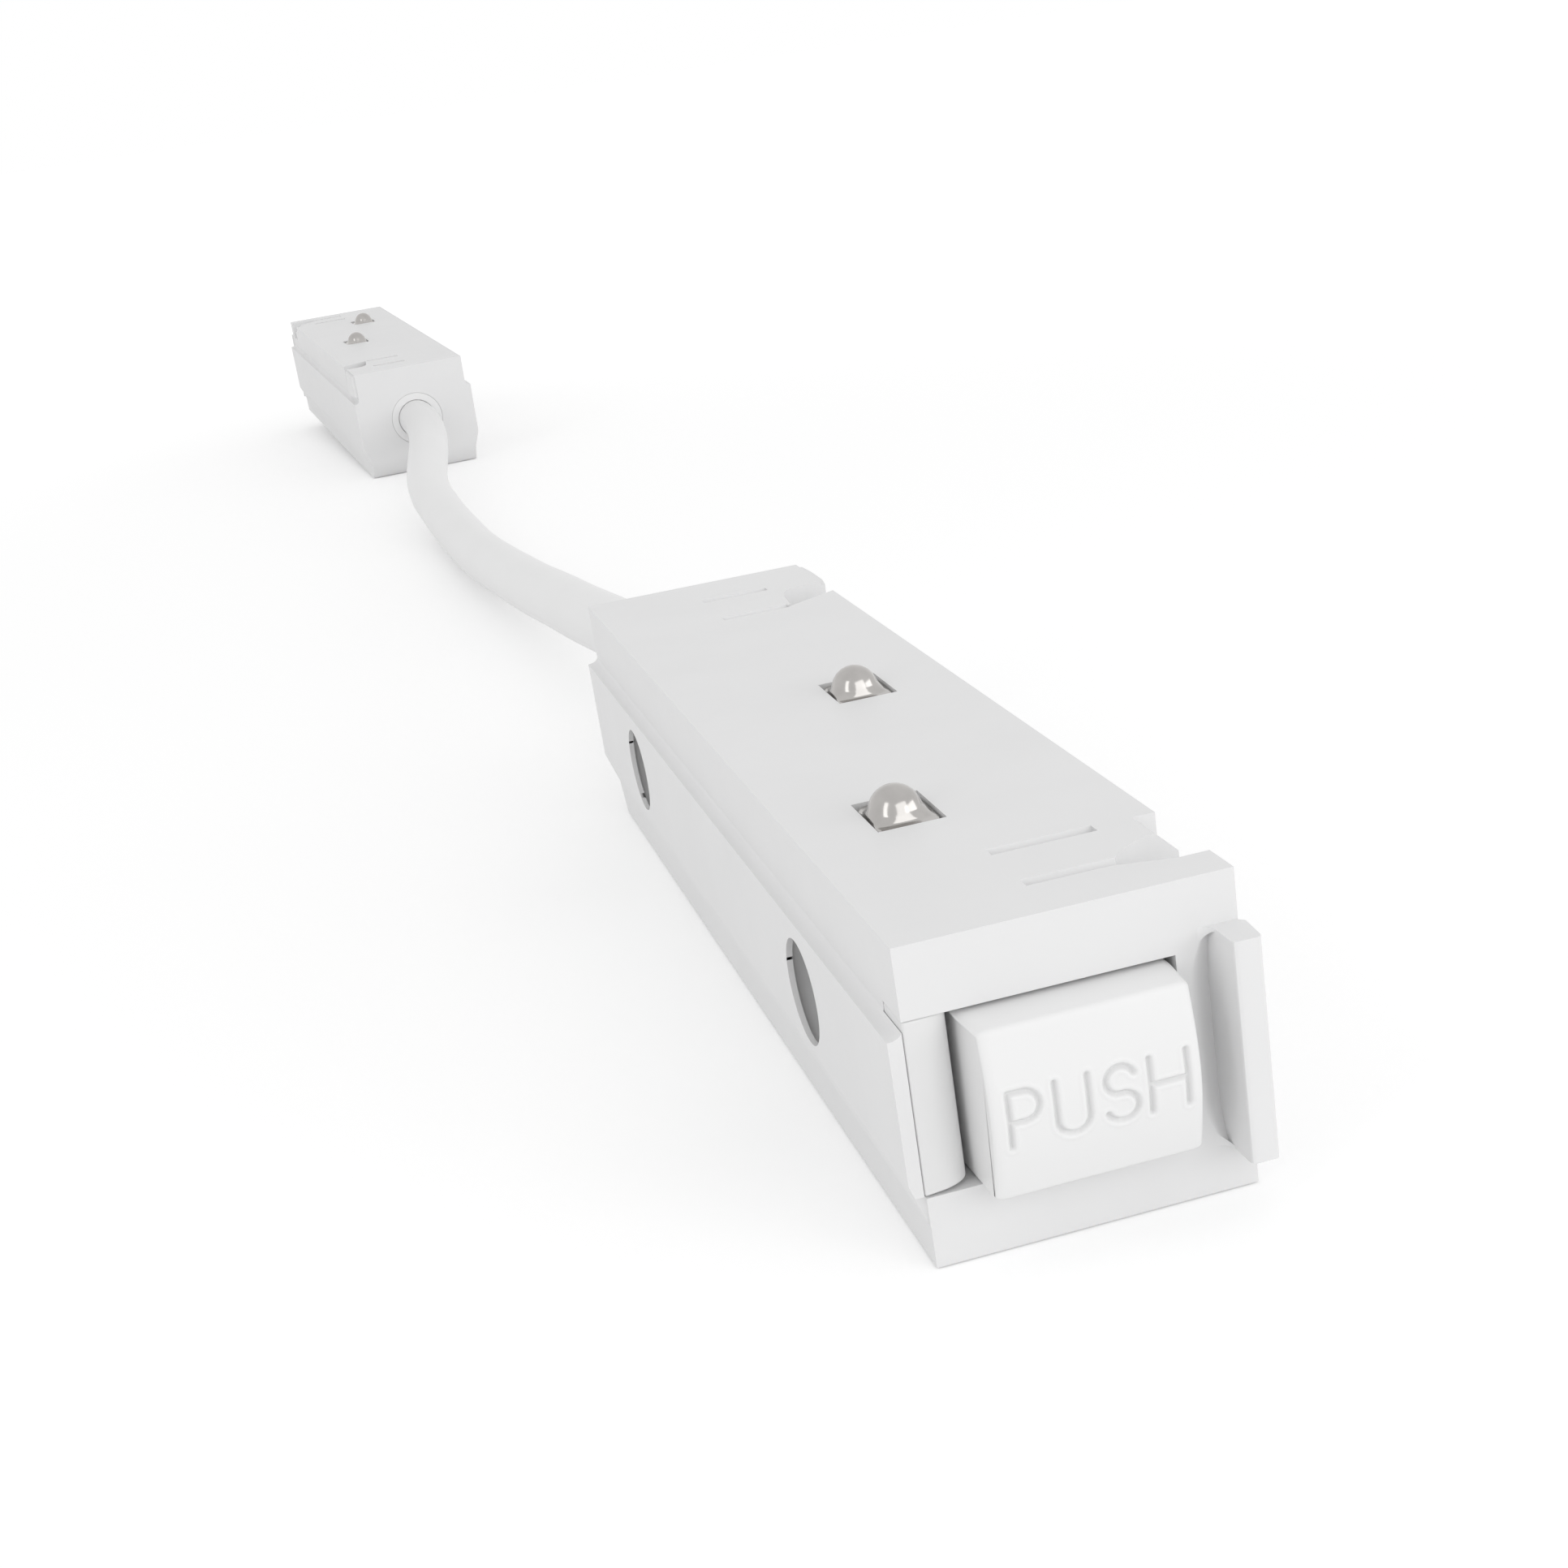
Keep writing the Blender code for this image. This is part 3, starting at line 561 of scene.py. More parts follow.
def latch_outline():
    """The latch bump on the right side at the cable end, seen from above."""
    end = LENGTH - GAP
    start = end - LATCH_LENGTH
    inside = HALF - LATCH_PROUD
    return [
        (inside, start),
        (HALF + LATCH_PROUD / 2, start),
        (HALF + LATCH_PROUD, start + LATCH_LENGTH / 4),
        (HALF + LATCH_PROUD, start + LATCH_LENGTH * 0.7),
        (HALF + LATCH_PROUD * 0.75, end),
        (inside, end),
    ]


def near_notch_outline():
    """The notch at the push-button end, seen from above; its back wall curves into the slot."""
    slot = NEAR_SLOT
    half_slot = SLOT_WIDTH / 2
    outside = HALF + 2 * RAIL_PROUD
    back = slot + NEAR_NOTCH
    return [
        (NOTCH_START, slot - half_slot), (0.0088, END_CAP), (outside, END_CAP), (outside, back),
        (0.0105, back), (0.0096, back - 0.00005), (0.0088, back - 0.0002), (0.0082, back - 0.00042),
        (0.0077, back - 0.0007), (0.00725, back - 0.00105), (0.0068, back - 0.0014),
        (0.0064, back - 0.00175), (0.0060, slot + 0.0012), (0.0057, slot + 0.0008),
        (0.0055, slot + half_slot), (NOTCH_START, slot + half_slot),
    ]


def far_notch_outline():
    """The notch at the cable end, seen from above; its back wall curves into the slot."""
    outside = HALF + 2 * RAIL_PROUD
    front = FAR_INNER_SLOT
    back = front + FAR_NOTCH
    half_slot = SLOT_WIDTH / 2
    return [
        (0.0055, front - half_slot), (0.0110, front + 0.0026), (outside, front + 0.0031),
        (outside, back), (0.0095, back), (0.0086, back - 0.00015), (0.0078, back - 0.0004),
        (0.0073, back - 0.0008), (0.0069, back - 0.0014), (0.0067, back - 0.0021),
        (0.0065, back - 0.0028), (0.0061, front + half_slot), (0.0055, front + half_slot),
    ]


def cavity_cutter():
    """The hollow inside, lower under the notch at the cable end."""
    x_range = (-INNER_HALF, INNER_HALF)
    y_range = (CHAMBER_END, LENGTH - REAR_WALL)
    cavity = box("cut_cavity", x_range, y_range, (-BEYOND, CAVITY_TOP))
    floor_y = (FAR_INNER_SLOT - 2 * SLOT_WIDTH, LENGTH)
    floor = box("keep_floor", (NOTCH_START, HALF), floor_y, (NOTCH_LEVEL - NOTCH_FLOOR, HEIGHT))
    combine(cavity, [floor], "DIFFERENCE")
    return cavity


def slot_cutter(middle, end):
    """A thin slot across the top; its far wall slopes, as moulded slots do."""
    near = middle - SLOT_WIDTH / 2
    far = middle + SLOT_WIDTH / 2 + SLOT_LEAN
    rise = 0.0003
    out = SLOT_SLOPE * rise / SLOT_DEPTH
    outline = [
        (near, HEIGHT - SLOT_DEPTH), (far - SLOT_SLOPE, HEIGHT - SLOT_DEPTH),
        (far + out, HEIGHT + rise), (near, HEIGHT + rise),
    ]
    return prism("cut_slot", outline, "X", SLOT_LEFT, end)


def flare_cutter(side):
    """Takes the rail's flare back at the push-button end, below the rail."""
    inner = side_at(RAIL_LOW)
    outer = HALF + 2 * RAIL_PROUD
    outline = [(inner, -BEYOND), (outer, -BEYOND), (outer, 0.0026), (inner, 0.0004)]
    outline = [(side * x, y) for x, y in outline]
    return prism("cut_flare", outline, "Z", RAIL_FOOT - 0.0006, RAIL_LOW - 0.0009)


def scoop_cutter():
    """A hollow in the end face beside the lug, deepest at the lug's root."""
    low, high = LUG_LOW + 0.0002, LUG_HIGH - 0.0002
    front = -0.0011
    bm = bmesh.new()
    rings = []
    steps = 20
    for step in range(steps + 1):
        t = step / steps
        z = low + (high - low) * t
        share = min(1.0, math.sin(math.pi * t) ** 0.5 * 1.25)
        share = max(share, 0.02)
        wide = SCOOP_WIDTH * share
        deep = SCOOP_DEPTH * share
        ring = [(LUG_INNER, front), (LUG_INNER, deep)]
        for turn in range(1, 13):
            s = turn / 12
            ring.append((LUG_INNER - wide * s, deep * (1 - s) ** 2 * (1 + 1.6 * s) - 0.00001))
        ring.append((LUG_INNER - wide, front))
        rings.append([bm.verts.new((x, y, z)) for x, y in ring])
    loft(bm, rings)
    return finish_mesh("cut_scoop", bm)


def bevel_share(middle):
    """The underside and the latch bump keep nearly sharp edges."""
    if middle.z < 0.0002:
        return 0.3
    at_latch = middle.y > LENGTH - LATCH_LENGTH - 0.001 and middle.x > HALF - 0.0008
    if at_latch and middle.z > RAIL_HIGH:
        return 0.4
    return 1.0


def outer_cutters():
    """What shapes the housing before its edges are rounded."""
    outside = HALF + 2 * RAIL_PROUD
    step = END_CAP + GAP
    window = [
        (-HALF, -BEYOND), (WINDOW_RIGHT, -BEYOND), (WINDOW_RIGHT, CHAMBER_END + BEYOND),
        (-CHAMBER_LEFT, CHAMBER_END + BEYOND), (-CHAMBER_LEFT, step), (-HALF, step),
    ]
    foot = [
        (LENGTH - FOOT_RUN, -GAP), (LENGTH - FOOT_RUN, 0.0), (LENGTH, RAIL_FOOT),
        (LENGTH + GAP, RAIL_FOOT), (LENGTH + GAP, -GAP),
    ]
    return [
        prism("cut_window", window, "Z", WINDOW_LOW, WINDOW_HIGH),
        prism("cut_foot", foot, "X", -outside, outside),
        flare_cutter(1),
        flare_cutter(-1),
    ]


def inner_cutters():
    """The small openings, whose edges stay crisp."""
    above = HEIGHT + BEYOND
    outside = HALF + 2 * RAIL_PROUD
    cutters = [cavity_cutter(), scoop_cutter()]
    wide, long = CONTACT_WINDOW
    for x, y in CONTACTS:
        x_range = (x - wide / 2, x + wide / 2)
        y_range = (y - long / 2, y + long / 2)
        cutters.append(box("cut_contact", x_range, y_range, (CAVITY_TOP - BEYOND, above)))
    hole = disc_profile(SIDE_HOLE_RADIUS, 0.005)
    recess = disc_profile(RECESS_RADIUS, RECESS_LENGTH)
    for y in SCREW_PLACES:
        hole_start = (-INNER_HALF - 0.004, y, SCREW_HEIGHT)
        recess_start = (-HALF - 0.0005, y, SCREW_HEIGHT)
        cutters.append(turned("cut_side", hole, "X", hole_start, steps=96))
        cutters.append(turned("cut_recess", recess, "X", recess_start, steps=96))
    hole = disc_profile(GLAND_RADIUS + GAP, 0.005)
    start = (0.0, LENGTH - REAR_WALL - BEYOND, CABLE_HEIGHT)
    cutters.append(turned("cut_gland", hole, "Y", start, steps=96))
    for middle in (NEAR_SLOT, NEAR_INNER_SLOT, FAR_SLOT, FAR_INNER_SLOT):
        longer = 0.0008 if middle == NEAR_INNER_SLOT else 0.0
        cutters.append(slot_cutter(middle, SLOT_RIGHT + longer))
    cutters.append(prism("cut_near_notch", near_notch_outline(), "Z", NOTCH_LEVEL, above))
    cutters.append(prism("cut_far_notch", far_notch_outline(), "Z", NOTCH_LEVEL, above))
    slope = [
        (HALF - RAMP, HEIGHT), (outside, HEIGHT - RAMP - 2 * RAIL_PROUD),
        (outside, above), (HALF - RAMP, above),
    ]
    cutters.append(prism("cut_ramp", slope, "Y", RAMP_START, NEAR_INNER_SLOT + SLOT_WIDTH / 2))
    return cutters


def make_shell():
    body = prism("shell", shell_outline(), "Y", 0.0, LENGTH)
    lug = prism("lug", lug_outline(), "Z", LUG_LOW, LUG_HIGH)
    latch_top = HEIGHT - GAP
    latch = prism("latch", latch_outline(), "Z", latch_top - LATCH_HEIGHT, latch_top)
    combine(body, [lug, latch], "UNION")
    combine(body, outer_cutters(), "DIFFERENCE")
    clean(body)
    round_edges(body, SHELL_EDGE, 3, 35.0, bevel_share)
    combine(body, inner_cutters(), "DIFFERENCE")
    shade(body)
    flatten_shading(body)
    return body


def button_front(z):
    """How far the button's face stands out at a height."""
    low = BUTTON_LOW - BUTTON_LIP
    lip = BUTTON_PROUD - BUTTON_LIP / 2
    share = (z - low) / (BUTTON_TOP - low)
    return lip + (BUTTON_PROUD - lip) * share + BUTTON_BULGE * math.sin(math.pi * share)


def button_outline():
    """The button seen from the side; its lip stays outside the shell even when it is pressed."""
    low = BUTTON_LOW - BUTTON_LIP
    lip = BUTTON_PROUD - BUTTON_LIP / 2
    under = WINDOW_LOW + SEAM
    outline = [(BUTTON_DEPTH, under), (-BUTTON_TRAVEL - SEAM, under)]
    steps = 40
    for step in [0, *range(3, steps - 2), steps]:
        z = low + (BUTTON_TOP - low) * step / steps
        outline.append((-button_front(z), z))
    outline += [(0.0, BUTTON_HIGH), (BUTTON_DEPTH, BUTTON_HIGH)]
    return outline


def arc(cx, cz, rx, rz, start, end, steps=10):
    points = []
    for step in range(steps + 1):
        angle = math.radians(start + (end - start) * step / steps)
        points.append((cx + rx * math.cos(angle), cz + rz * math.sin(angle)))
    return points


def letter_strokes():
    """PUSH in single strokes, as (x, z) runs on the button's face."""
    low, high = LETTER_LOW, LETTER_HIGH
    tall = high - low
    strokes = []
    x, wide = -0.00605, 0.00195
    bowl = arc(x + wide * 0.5, high - tall * 0.27, wide * 0.5, tall * 0.27, 90, -90)
    strokes.append([(x, low), (x, high), *bowl, (x, high - tall * 0.54)])
    x, wide = -0.00307, 0.00208
    round_part = arc(x + wide * 0.5, low + tall * 0.28, wide * 0.5, tall * 0.28, 180, 360)
    strokes.append([(x, high), *round_part, (x + wide, high)])
    x, wide = 0.00008, 0.00205
    upper = arc(x + wide * 0.48, high - tall * 0.25, wide * 0.46, tall * 0.25, 20, 250, 14)
    lower = arc(x + wide * 0.50, low + tall * 0.26, wide * 0.50, tall * 0.26, 80, -160, 14)
    strokes.append([*upper, *lower])
    x, wide = 0.0030, 0.0024
    strokes.append([(x, low), (x, high)])
    strokes.append([(x + wide, low), (x + wide, high)])
    strokes.append([(x, low + tall * 0.52), (x + wide, low + tall * 0.52)])
    return strokes


def stroke_distance(x, z, strokes):
    """Distance from a point of the face to the nearest letter stroke."""
    nearest = 1.0
    for stroke in strokes:
        for (x0, z0), (x1, z1) in zip(stroke, stroke[1:]):
            dx, dz = x1 - x0, z1 - z0
            size = dx * dx + dz * dz
            t = 0.0 if size == 0 else max(0.0, min(1.0, ((x - x0) * dx + (z - z0) * dz) / size))
            nearest = min(nearest, math.hypot(x - x0 - t * dx, z - z0 - t * dz))
    return nearest


def letter_relief(distance):
    """Depth of the engraved stroke at a distance from its middle, with a faint raised lip."""
    if distance < LETTER_HALF:
        return -LETTER_DEPTH * (0.5 + 0.5 * math.cos(math.pi * distance / LETTER_HALF)) ** 0.6
    reach = distance - LETTER_HALF
    if reach < LETTER_LIP_WIDTH:
        return LETTER_LIP * math.sin(math.pi * reach / LETTER_LIP_WIDTH)
    return 0.0


def make_button():
    """The push button: its side outline lofted across, with rounded ends and engraved letters."""
    outline = rounded(button_outline(), 0.0005, 6)
    dense = []
    for (y0, z0), (y1, z1) in zip(outline, outline[1:] + outline[:1]):
        front = y0 < -0.0015 and y1 < -0.0015
        count = max(1, math.ceil(math.hypot(y1 - y0, z1 - z0) / FINE)) if front else 1
        dense += [(y0 + (y1 - y0) * i / count, z0 + (z1 - z0) * i / count) for i in range(count)]
    columns = []
    for turn in range(9):
        angle = math.pi / 2 * turn / 9
        x = BUTTON_LEFT + BUTTON_ROUND * (1 - math.cos(angle))
        columns.append((x, BUTTON_INSET * (1 - math.sin(angle))))
    flat = BUTTON_RIGHT - BUTTON_LEFT - 2 * BUTTON_ROUND
    count = round(flat / FINE)
    columns += [(BUTTON_LEFT + BUTTON_ROUND + flat / count * i, 0.0) for i in range(count + 1)]
    columns += [(BUTTON_RIGHT + BUTTON_LEFT - x, away) for x, away in reversed(columns[:9])]
    strokes = letter_strokes()
    normals = outline_normals(dense)
    bm = bmesh.new()
    engraved = bm.verts.layers.float.new("engraved")
    rings = []
    for x, away in columns:
        ring = []
        for (y, z), (ny, nz) in zip(dense, normals):
            out = -away
            if y < -0.0025 and 0.0070 < z < 0.0132:
                out += letter_relief(stroke_distance(x, z, strokes))
            root = max(0.0, min(1.0, (y + BUTTON_PROUD) / BUTTON_PROUD))
            spread = root * BUTTON_LEAN * max(0.0, 1.0 - (x - BUTTON_LEFT) / 0.002)
            vert = bm.verts.new((x - spread, y + ny * out, z + nz * out))
            # The engraved share also sets how much painted shade this point of a stroke gets.
            vert[engraved] = max(0.0, min(1.0, -(out + away) / LETTER_DEPTH))
            ring.append(vert)
        rings.append(ring)
    loft(bm, rings)
    button = finish_mesh("button", bm)
    shade(button, 50.0)
    flatten_shading(button)
    return button


def make_cheek():
    """The cheek beside the button: it all but fills its end of the window."""
    left = -side_at(WINDOW_HIGH) + SEAM / 4
    right = -HALF + GAP + CHEEK_WIDTH
    outline = [(left, 0.0)]
    for step in range(13):
        angle = math.radians(90) * step / 12
        x = right - CHEEK_TURN * (1 - math.sin(angle))
        outline.append((x, CHEEK_TURN_DEPTH * (1 - math.cos(angle))))
    shoulder = END_CAP + GAP - SEAM / 4
    outline += [
        (right, CHEEK_DEPTH), (-CHAMBER_LEFT + GAP, CHEEK_DEPTH),
        (-CHAMBER_LEFT + GAP, shoulder), (left, shoulder),
    ]
    cheek = prism("cheek", outline, "Z", WINDOW_LOW + GAP / 3, WINDOW_HIGH - SEAM)
    for vert in cheek.data.vertices:
        if vert.co.z < WINDOW_LOW + GAP:
            vert.co.z += CHEEK_SLANT * (vert.co.x - left) / CHEEK_WIDTH
    round_edges(cheek, CHEEK_EDGE, 3, 50.0)
    shade(cheek)
    flatten_shading(cheek)
    return cheek


def oval(half_x, half_y, power, z, steps=72):
    """Ring of points that runs from an ellipse (power 2) towards a rectangle (high power)."""
    ring = []
    for step in range(steps):
        angle = 2 * math.pi * (step + 0.5) / steps
        along, across = math.cos(angle), math.sin(angle)
        x = math.copysign(abs(along) ** (2 / power), along) * half_x
        y = math.copysign(abs(across) ** (2 / power), across) * half_y
        ring.append((x, y, z))
    return ring


def make_contact(x, y):
    """A domed contact that flares to both sides of its window, on a flange with a guide stem."""
    foot = HEIGHT - 0.00022
    wide = CONTACT_WINDOW[0] / 2 - CONTACT_ROOM
    long = CONTACT_WINDOW[1] / 2 - CONTACT_ROOM
    foot_x = wide - 0.00008
    foot_y = long - 0.00004
    middle = CONTACT_TOP - CONTACT_CAP
    joint = middle + CONTACT_CAP * math.sin(CONTACT_LEAN)
    levels = (
        (STEM_RADIUS, STEM_RADIUS, 2, FLANGE_LOW - STEM_LENGTH),
        (STEM_RADIUS, STEM_RADIUS, 2, FLANGE_LOW),
        (FLANGE_RADIUS, FLANGE_RADIUS, 2, FLANGE_LOW),
        (FLANGE_RADIUS, FLANGE_RADIUS, 2, FLANGE_HIGH - 0.0001),
        (FLANGE_RADIUS - 0.0001, FLANGE_RADIUS - 0.0001, 2, FLANGE_HIGH),
        (0.0020, 0.0019, 2, FLANGE_HIGH),
        (0.0020, 0.0019, 2, foot - 0.0005),
        (wide - 0.0001, long, 6, foot - 0.0005),
        (wide, long, 6, foot - 0.0004),
        (wide, long, 6, foot - 0.00008),
        (foot_x, foot_y, 6, foot),
    )
    rings = [(oval(*level), 0.0) for level in levels]
    steps = 18
    for step in range(1, steps + 1):
        t = step / steps
        height = foot + (joint - foot) * t**1.5
        cone = CONTACT_CAP * math.cos(CONTACT_LEAN) + (joint - height) * math.tan(CONTACT_LEAN)
        flare = max(0.0, 1 - t / 0.75) ** 2
        closed = max(0.0, 1 - t / 0.2) ** 2
        waist = min(cone, CONTACT_MOST)
        half_x = waist + (foot_x - waist) * flare
        half_y = cone + (foot_y - cone) * closed
        ring = oval(half_x, half_y, 2 + 4 * max(flare, closed), height)
        rings.append((ring, CONTACT_ASIDE * (1 - flare)))
    for step in range(1, 15):
        angle = CONTACT_LEAN + (math.pi / 2 - CONTACT_LEAN) * step / 15
        radius = CONTACT_CAP * math.cos(angle)
        ring = oval(radius, radius, 2, middle + CONTACT_CAP * math.sin(angle))
        rings.append((ring, CONTACT_ASIDE))
    bm = bmesh.new()
    loops = []
    for ring, aside in rings:
        loops.append([bm.verts.new((x + px + aside, y + py, pz)) for px, py, pz in ring])
    for low, high in zip(loops, loops[1:]):
        bridge(bm, low, high)
    bm.faces.new(loops[0])
    tip = bm.verts.new((x + CONTACT_ASIDE, y, CONTACT_TOP))
    for i in range(len(loops[-1])):
        bm.faces.new((loops[-1][i], loops[-1][(i + 1) % len(loops[-1])], tip))
    contact = finish_mesh("contact", bm)
    shade(contact, 40.0)
    return contact


def make_screw(y):
    """A pan-head screw with a cross recess, its axis across the housing."""
    top = -SCREW_HEAD - GAP
    domed = SCREW_HEAD_RADIUS - 0.00005
    profile = [(0.0, top)]
    for step in range(1, 11):
        share = step / 10
        profile.append((domed * share, top + SCREW_DOME * share**2))
    profile += [
        (SCREW_HEAD_RADIUS, top + 0.001), (SCREW_HEAD_RADIUS, -GAP), (SCREW_RADIUS, -GAP),
        (SCREW_RADIUS, SCREW_LENGTH), (0.0, SCREW_LENGTH),
    ]
    screw = turned("screw", profile, "X", (-SCREW_SEAT, y, SCREW_HEIGHT))
    face = top - SCREW_SEAT
    arms = []
    for long, thin in ((SCREW_CROSS, SCREW_CROSS_THIN), (SCREW_CROSS_THIN, SCREW_CROSS)):
        y_range = (y - long, y + long)
        z_range = (SCREW_HEIGHT - thin, SCREW_HEIGHT + thin)
        arms.append(box("arm", (face - BEYOND, face + SCREW_CROSS_DEPTH), y_range, z_range))
    combine(screw, arms, "DIFFERENCE")
    shade(screw)
    return screw


def make_gland():
    """The collar in the rear wall, snug on the cable's sheath."""
    bore = CABLE_RADIUS + 0.00006
    flange_out = -REAR_WALL - GAP
    flange_in = flange_out - GLAND_FLANGE
    edge = 0.00005
    outer = GLAND_RADIUS + GAP - SEAM
    rim = outer + GLAND_FLANGE
    profile = [
        (bore, flange_in), (rim, flange_in), (rim, flange_out),
        (outer, flange_out), (outer, -edge), (outer - edge, 0.0),
        (bore + edge, 0.0), (bore, -edge),
    ]
    gland = turned("gland", profile, "Y", (0.0, LENGTH, CABLE_HEIGHT), closed=True, steps=96)
    shade(gland)
    return gland


def make_coil(axis, centre, radius, wire, low, high, turns):
    """A coil spring of round wire that all but fills the way from low to high."""
    first, second, along = PLANES[axis]
    start = low + GAP + wire
    end = high - GAP - wire
    steps = 40 * turns
    points = []
    for step in range(steps + 1):
        angle = 2 * math.pi * turns * step / steps
        point = [0.0, 0.0, 0.0]
        point[first] = centre[0] + radius * math.cos(angle)
        point[second] = centre[1] + radius * math.sin(angle)
        point[along] = start + (end - start) * step / steps
        points.append(point)
    curve = tube("coil", points, wire, 3)
    graph = bpy.context.evaluated_depsgraph_get()
    mesh = bpy.data.meshes.new_from_object(curve.evaluated_get(graph))
    bpy.data.objects.remove(curve, do_unlink=True)
    coil = add_object("coil", mesh)
    shade(coil, 60.0)
    return coil


def shorten_coil(side, coil, joint, axis, seat, far_end, travel):
    """Gives a housing's coil its own copy of its mesh."""
    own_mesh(bpy.data.objects[f"{side}_{coil}"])


def make_base():
    x_range = (-INNER_HALF + GAP, INNER_HALF - GAP)
    y_range = (CHAMBER_END + GAP, LENGTH - REAR_WALL - GAP)
    base = box("base", x_range, y_range, (0.0, BASE_THICKNESS))
    round_edges(base, BASE_EDGE, 2)
    shade(base)
    flatten_shading(base)
    return base


def make_masters():
    """One of each piece of a housing: name, mesh, material, body, slot and CAD node."""
    middle = ((BUTTON_RIGHT + BUTTON_LEFT) / 2, (BUTTON_LOW + BUTTON_HIGH) / 2)
    coil = make_coil("Y", middle, BUTTON_COIL, BUTTON_WIRE, BUTTON_DEPTH, BUTTON_SEAT, BUTTON_TURNS)
    masters = [
        ("shell", make_shell(), HOUSING, "frame", "housing_white", "body"),
        ("underside", make_base(), BASE, "frame", "base_white", "base"),
        ("push", make_button(), BUTTON, "push_button", "button_white", "button"),
        ("end_cheek", make_cheek(), CHEEK, "frame", "cheek_white", "cheek"),
        ("collar", make_gland(), GLAND, "frame", "gland_white", "gland"),
        ("push_coil", coil, SPRING, "frame", "spring_steel", "button_spring"),
    ]
    for number, (x, y) in enumerate(CONTACTS, 1):
        dome = make_contact(x, y)
        coil = make_coil(
            "Z", (x, y), CONTACT_COIL, CONTACT_WIRE, CONTACT_SEAT, FLANGE_LOW, CONTACT_TURNS
        )
        node = f"contact_{number}"
        masters.append((f"dome_{number}", dome, NICKEL, f"plunger_{number}", "contact_nickel", node))
        node = f"contact_spring_{number}"
        masters.append((f"dome_coil_{number}", coil, SPRING, "frame", "spring_steel", node))
    for number, y in enumerate(SCREW_PLACES, 1):
        screw = make_screw(y)
        node = f"screw_{number}"
        masters.append((f"side_screw_{number}", screw, SCREW, "frame", "screw_steel", node))
    return masters


def dress_housings():
    """Gives both housings a copy of each piece, and the carriers their material."""
    masters = make_masters()
    for side in PLACES:
        for name, master, material, body, slot, node in masters:
            piece = add_object(f"{side}_{name}", master.data.copy())
            body_name = body if body == "frame" else f"{side}_{body}"
            place(piece, side, material, body_name, slot, f"{side}_{node}")
        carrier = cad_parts[f"{side}_carrier"]
        carrier.data.materials.clear()
        carrier.data.materials.append(CARRIER)
        ends = (BUTTON_SEAT, BUTTON_DEPTH)
        shorten_coil(side, "push_coil", "button_push", (0, 1, 0), *ends, BUTTON_TRAVEL)
        ends = (CONTACT_SEAT, FLANGE_LOW)
        for number in (1, 2):
            joint = f"contact_{number}_press"
            shorten_coil(side, f"dome_coil_{number}", joint, (0, 0, 1), *ends, CONTACT_TRAVEL)
    for _, master, *_ in masters:
        bpy.data.objects.remove(master, do_unlink=True)


# Cable

def smooth_points(points, first_way, last_way):
    """Points of a smooth curve through the given ones, with the given directions at its ends."""
    ways = [first_way]
    for before, after in zip(points, points[2:]):
        ways.append((after - before) / 2)
    ways.append(last_way)
    found = []
    steps = 40
    for i in range(len(points) - 1):
        for step in range(steps):
            t = step / steps
            a = 2 * t**3 - 3 * t**2 + 1
            b = t**3 - 2 * t**2 + t
            c = 3 * t**2 - 2 * t**3
            d = t**3 - t**2
            found.append(a * points[i] + b * ways[i] + c * points[i + 1] + d * ways[i + 1])
    found.append(points[-1])
    return found


def cable_points():
    """The cable's middle line, from inside one collar to inside the other."""
    near = PLACES["near"]
    far = PLACES["far"]
    inside = Vector((0.0, LENGTH - CABLE_GRIP, CABLE_HEIGHT))
    mouth = Vector((0.0, LENGTH + CABLE_RADIUS / 2, CABLE_HEIGHT))
    start = near @ mouth
    end = far @ mouth
    route = [start]
    for share, aside, height in CABLE_ROUTE:
        chord = start.lerp(end, share)
        route.append(Vector((chord.x + aside, chord.y, height)))
    route.append(end)
    first_way = near.to_3x3() @ Vector((0.0, (route[1] - route[0]).length, 0.0))
    last_way = far.to_3x3() @ Vector((0.0, -(route[-1] - route[-2]).length, 0.0))
    close = smooth_points(route, first_way, last_way)
    points = [near @ inside, *close[::4], far @ inside]
    if (points[-2] - close[-1]).length > 1e-9:
        points.insert(-1, close[-1])
    return points


def make_cable():
    points = cable_points()
    sheath = tube("cable_sheath", points, CABLE_RADIUS, 10)
    sheath.data.materials.append(CABLE)
    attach(sheath, "frame")
    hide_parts("cable")


# Studio

AMBIENT = 0.81
FLOOR_SHADE = 0.91
FLOOR_GLOW = 0.17
FLOOR_GLOW_FAR = FLOOR_GLOW + 0.35
LENS = 51.502
CAMERA_AT = (-0.04112, -0.11793 - LENGTH / 2, 0.07239)
CAMERA_RIGHT = Vector((0.95656751, -0.25374548, -0.14349854))
CAMERA_DOWN = Vector((-0.21233126, -0.26920152, -0.93938596))
CAMERA_AHEAD = Vector((0.19973492, 0.92905531, -0.31138752))
# Name, place, aim, size and power of each lamp
LAMPS = (
    ("front", (0.26, -0.82, 0.42), (0.0, -0.02, 0.0), (0.8, 0.6), 1.55),
    ("left", (-0.62, -0.40, 0.34), (0.0, 0.05, 0.0), (0.22, 0.7), 0.7),
    ("right", (0.74, -0.50, 0.24), (0.0, 0.0, 0.01), (0.95, 0.3), 1.2),
)


def seen_rays(tree):
    """1 for rays that show the background: to the camera, mirrored in metal or through glass."""
    path = tree.nodes.new("ShaderNodeLightPath")
    seen = path.outputs["Is Camera Ray"]
    for kind in ("Is Glossy Ray", "Is Transmission Ray"):
        larger = tree.nodes.new("ShaderNodeMath")
        larger.operation = "MAXIMUM"
        tree.links.new(seen, larger.inputs[0])
        tree.links.new(path.outputs[kind], larger.inputs[1])
        seen = larger.outputs["Value"]
    return seen


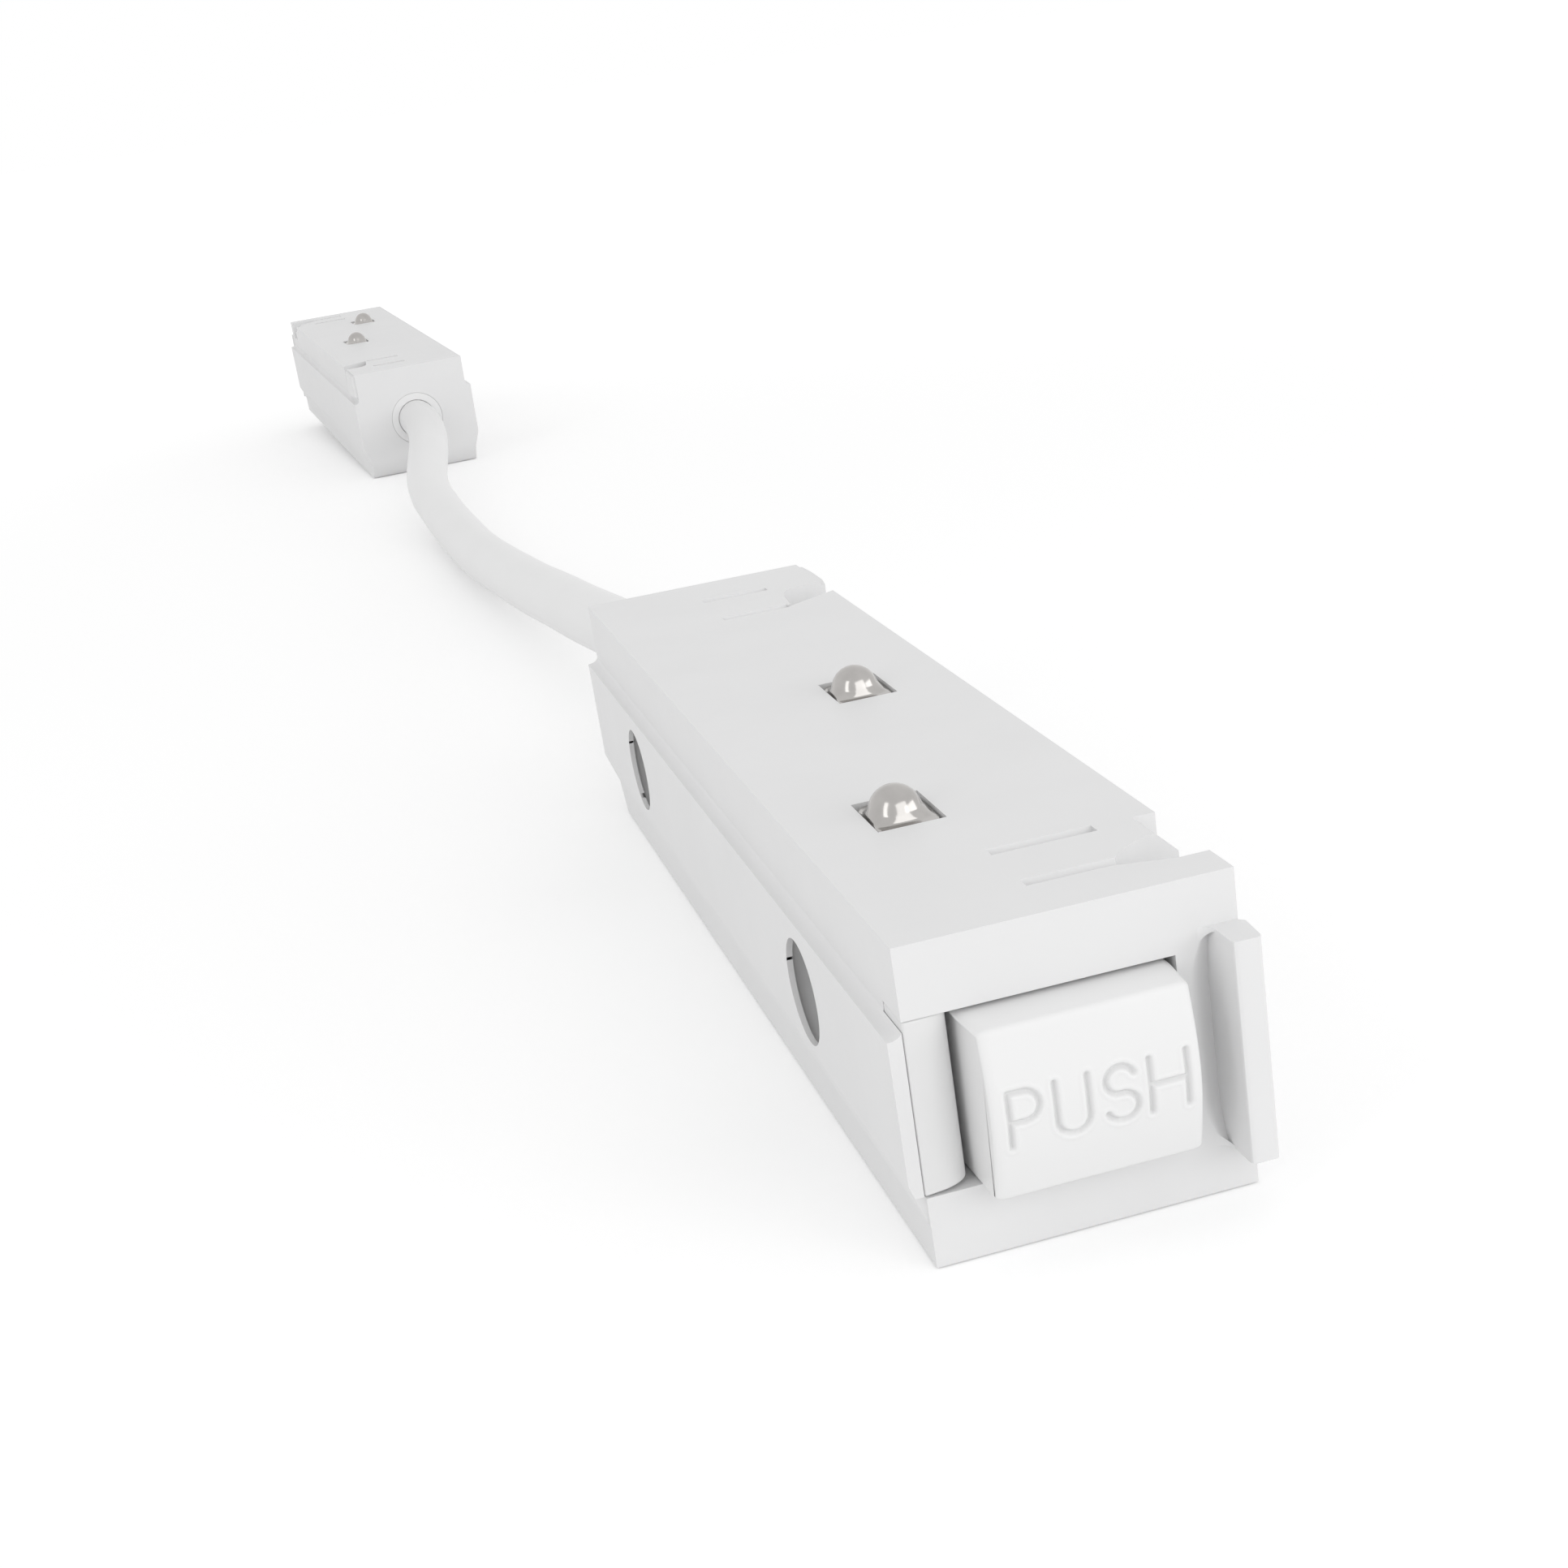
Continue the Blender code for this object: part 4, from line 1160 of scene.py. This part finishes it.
def make_floor():
    """A matt white floor that also glows a little, more so farther away, where the photo is blank."""
    bm = bmesh.new()
    bmesh.ops.create_grid(bm, x_segments=1, y_segments=1, size=12.0)
    floor = finish_mesh("floor", bm)
    floor.location = (0.0, 0.0, -0.0001)
    material, tree, shader = new_material("floor_white")
    tree.nodes.remove(shader)
    out = tree.nodes["Material Output"]
    diffuse = tree.nodes.new("ShaderNodeBsdfDiffuse")
    diffuse.inputs["Color"].default_value = (FLOOR_SHADE, FLOOR_SHADE, FLOOR_SHADE, 1.0)
    glow = tree.nodes.new("ShaderNodeEmission")
    glow.inputs["Color"].default_value = (1.0, 1.0, 1.0, 1.0)
    scale = tree.nodes.new("ShaderNodeMath")
    scale.operation = "MULTIPLY"
    coord = tree.nodes.new("ShaderNodeTexCoord")
    away = tree.nodes.new("ShaderNodeVectorMath")
    away.operation = "LENGTH"
    tree.links.new(coord.outputs["Object"], away.inputs[0])
    level = tree.nodes.new("ShaderNodeMapRange")
    level.interpolation_type = "SMOOTHSTEP"
    level.inputs["From Min"].default_value = 0.15
    level.inputs["From Max"].default_value = 1.2
    level.inputs["To Min"].default_value = FLOOR_GLOW
    level.inputs["To Max"].default_value = FLOOR_GLOW_FAR
    tree.links.new(away.outputs["Value"], level.inputs["Value"])
    tree.links.new(seen_rays(tree), scale.inputs[0])
    tree.links.new(level.outputs["Result"], scale.inputs[1])
    tree.links.new(scale.outputs["Value"], glow.inputs["Strength"])
    both = tree.nodes.new("ShaderNodeAddShader")
    tree.links.new(diffuse.outputs["BSDF"], both.inputs[0])
    tree.links.new(glow.outputs["Emission"], both.inputs[1])
    tree.links.new(both.outputs["Shader"], out.inputs["Surface"])
    floor.data.materials.append(material)


def make_world():
    world = bpy.data.worlds.new("studio")
    bpy.context.scene.world = world
    world.use_nodes = True
    tree = world.node_tree
    back = tree.nodes["Background"]
    back.inputs["Color"].default_value = (1.0, 1.0, 1.0, 1.0)
    tree.links.new(map_range(tree, seen_rays(tree), AMBIENT, 1.0), back.inputs["Strength"])


def make_light(name, place_at, aim, size, power):
    data = bpy.data.lights.new(name, "AREA")
    data.shape = "RECTANGLE"
    data.size = size[0]
    data.size_y = size[1]
    data.energy = power
    lamp = add_object(name, data)
    lamp.location = place_at
    way = Vector(aim) - Vector(place_at)
    lamp.rotation_euler = way.to_track_quat("-Z", "Y").to_euler()


def make_camera():
    data = bpy.data.cameras.new("camera")
    data.sensor_fit = "HORIZONTAL"
    data.sensor_width = 36.0
    data.lens = LENS
    data.clip_start = 0.01
    data.clip_end = 60.0
    camera = add_object("camera", data)
    turn = Matrix((CAMERA_RIGHT, -CAMERA_DOWN, -CAMERA_AHEAD)).transposed().to_4x4()
    camera.matrix_world = Matrix.Translation(CAMERA_AT) @ turn
    bpy.context.scene.camera = camera


make_camera()
make_cable()
dress_housings()
make_floor()
make_world()
for lamp in LAMPS:
    make_light(*lamp)
bpy.context.scene.view_settings.view_transform = "Standard"
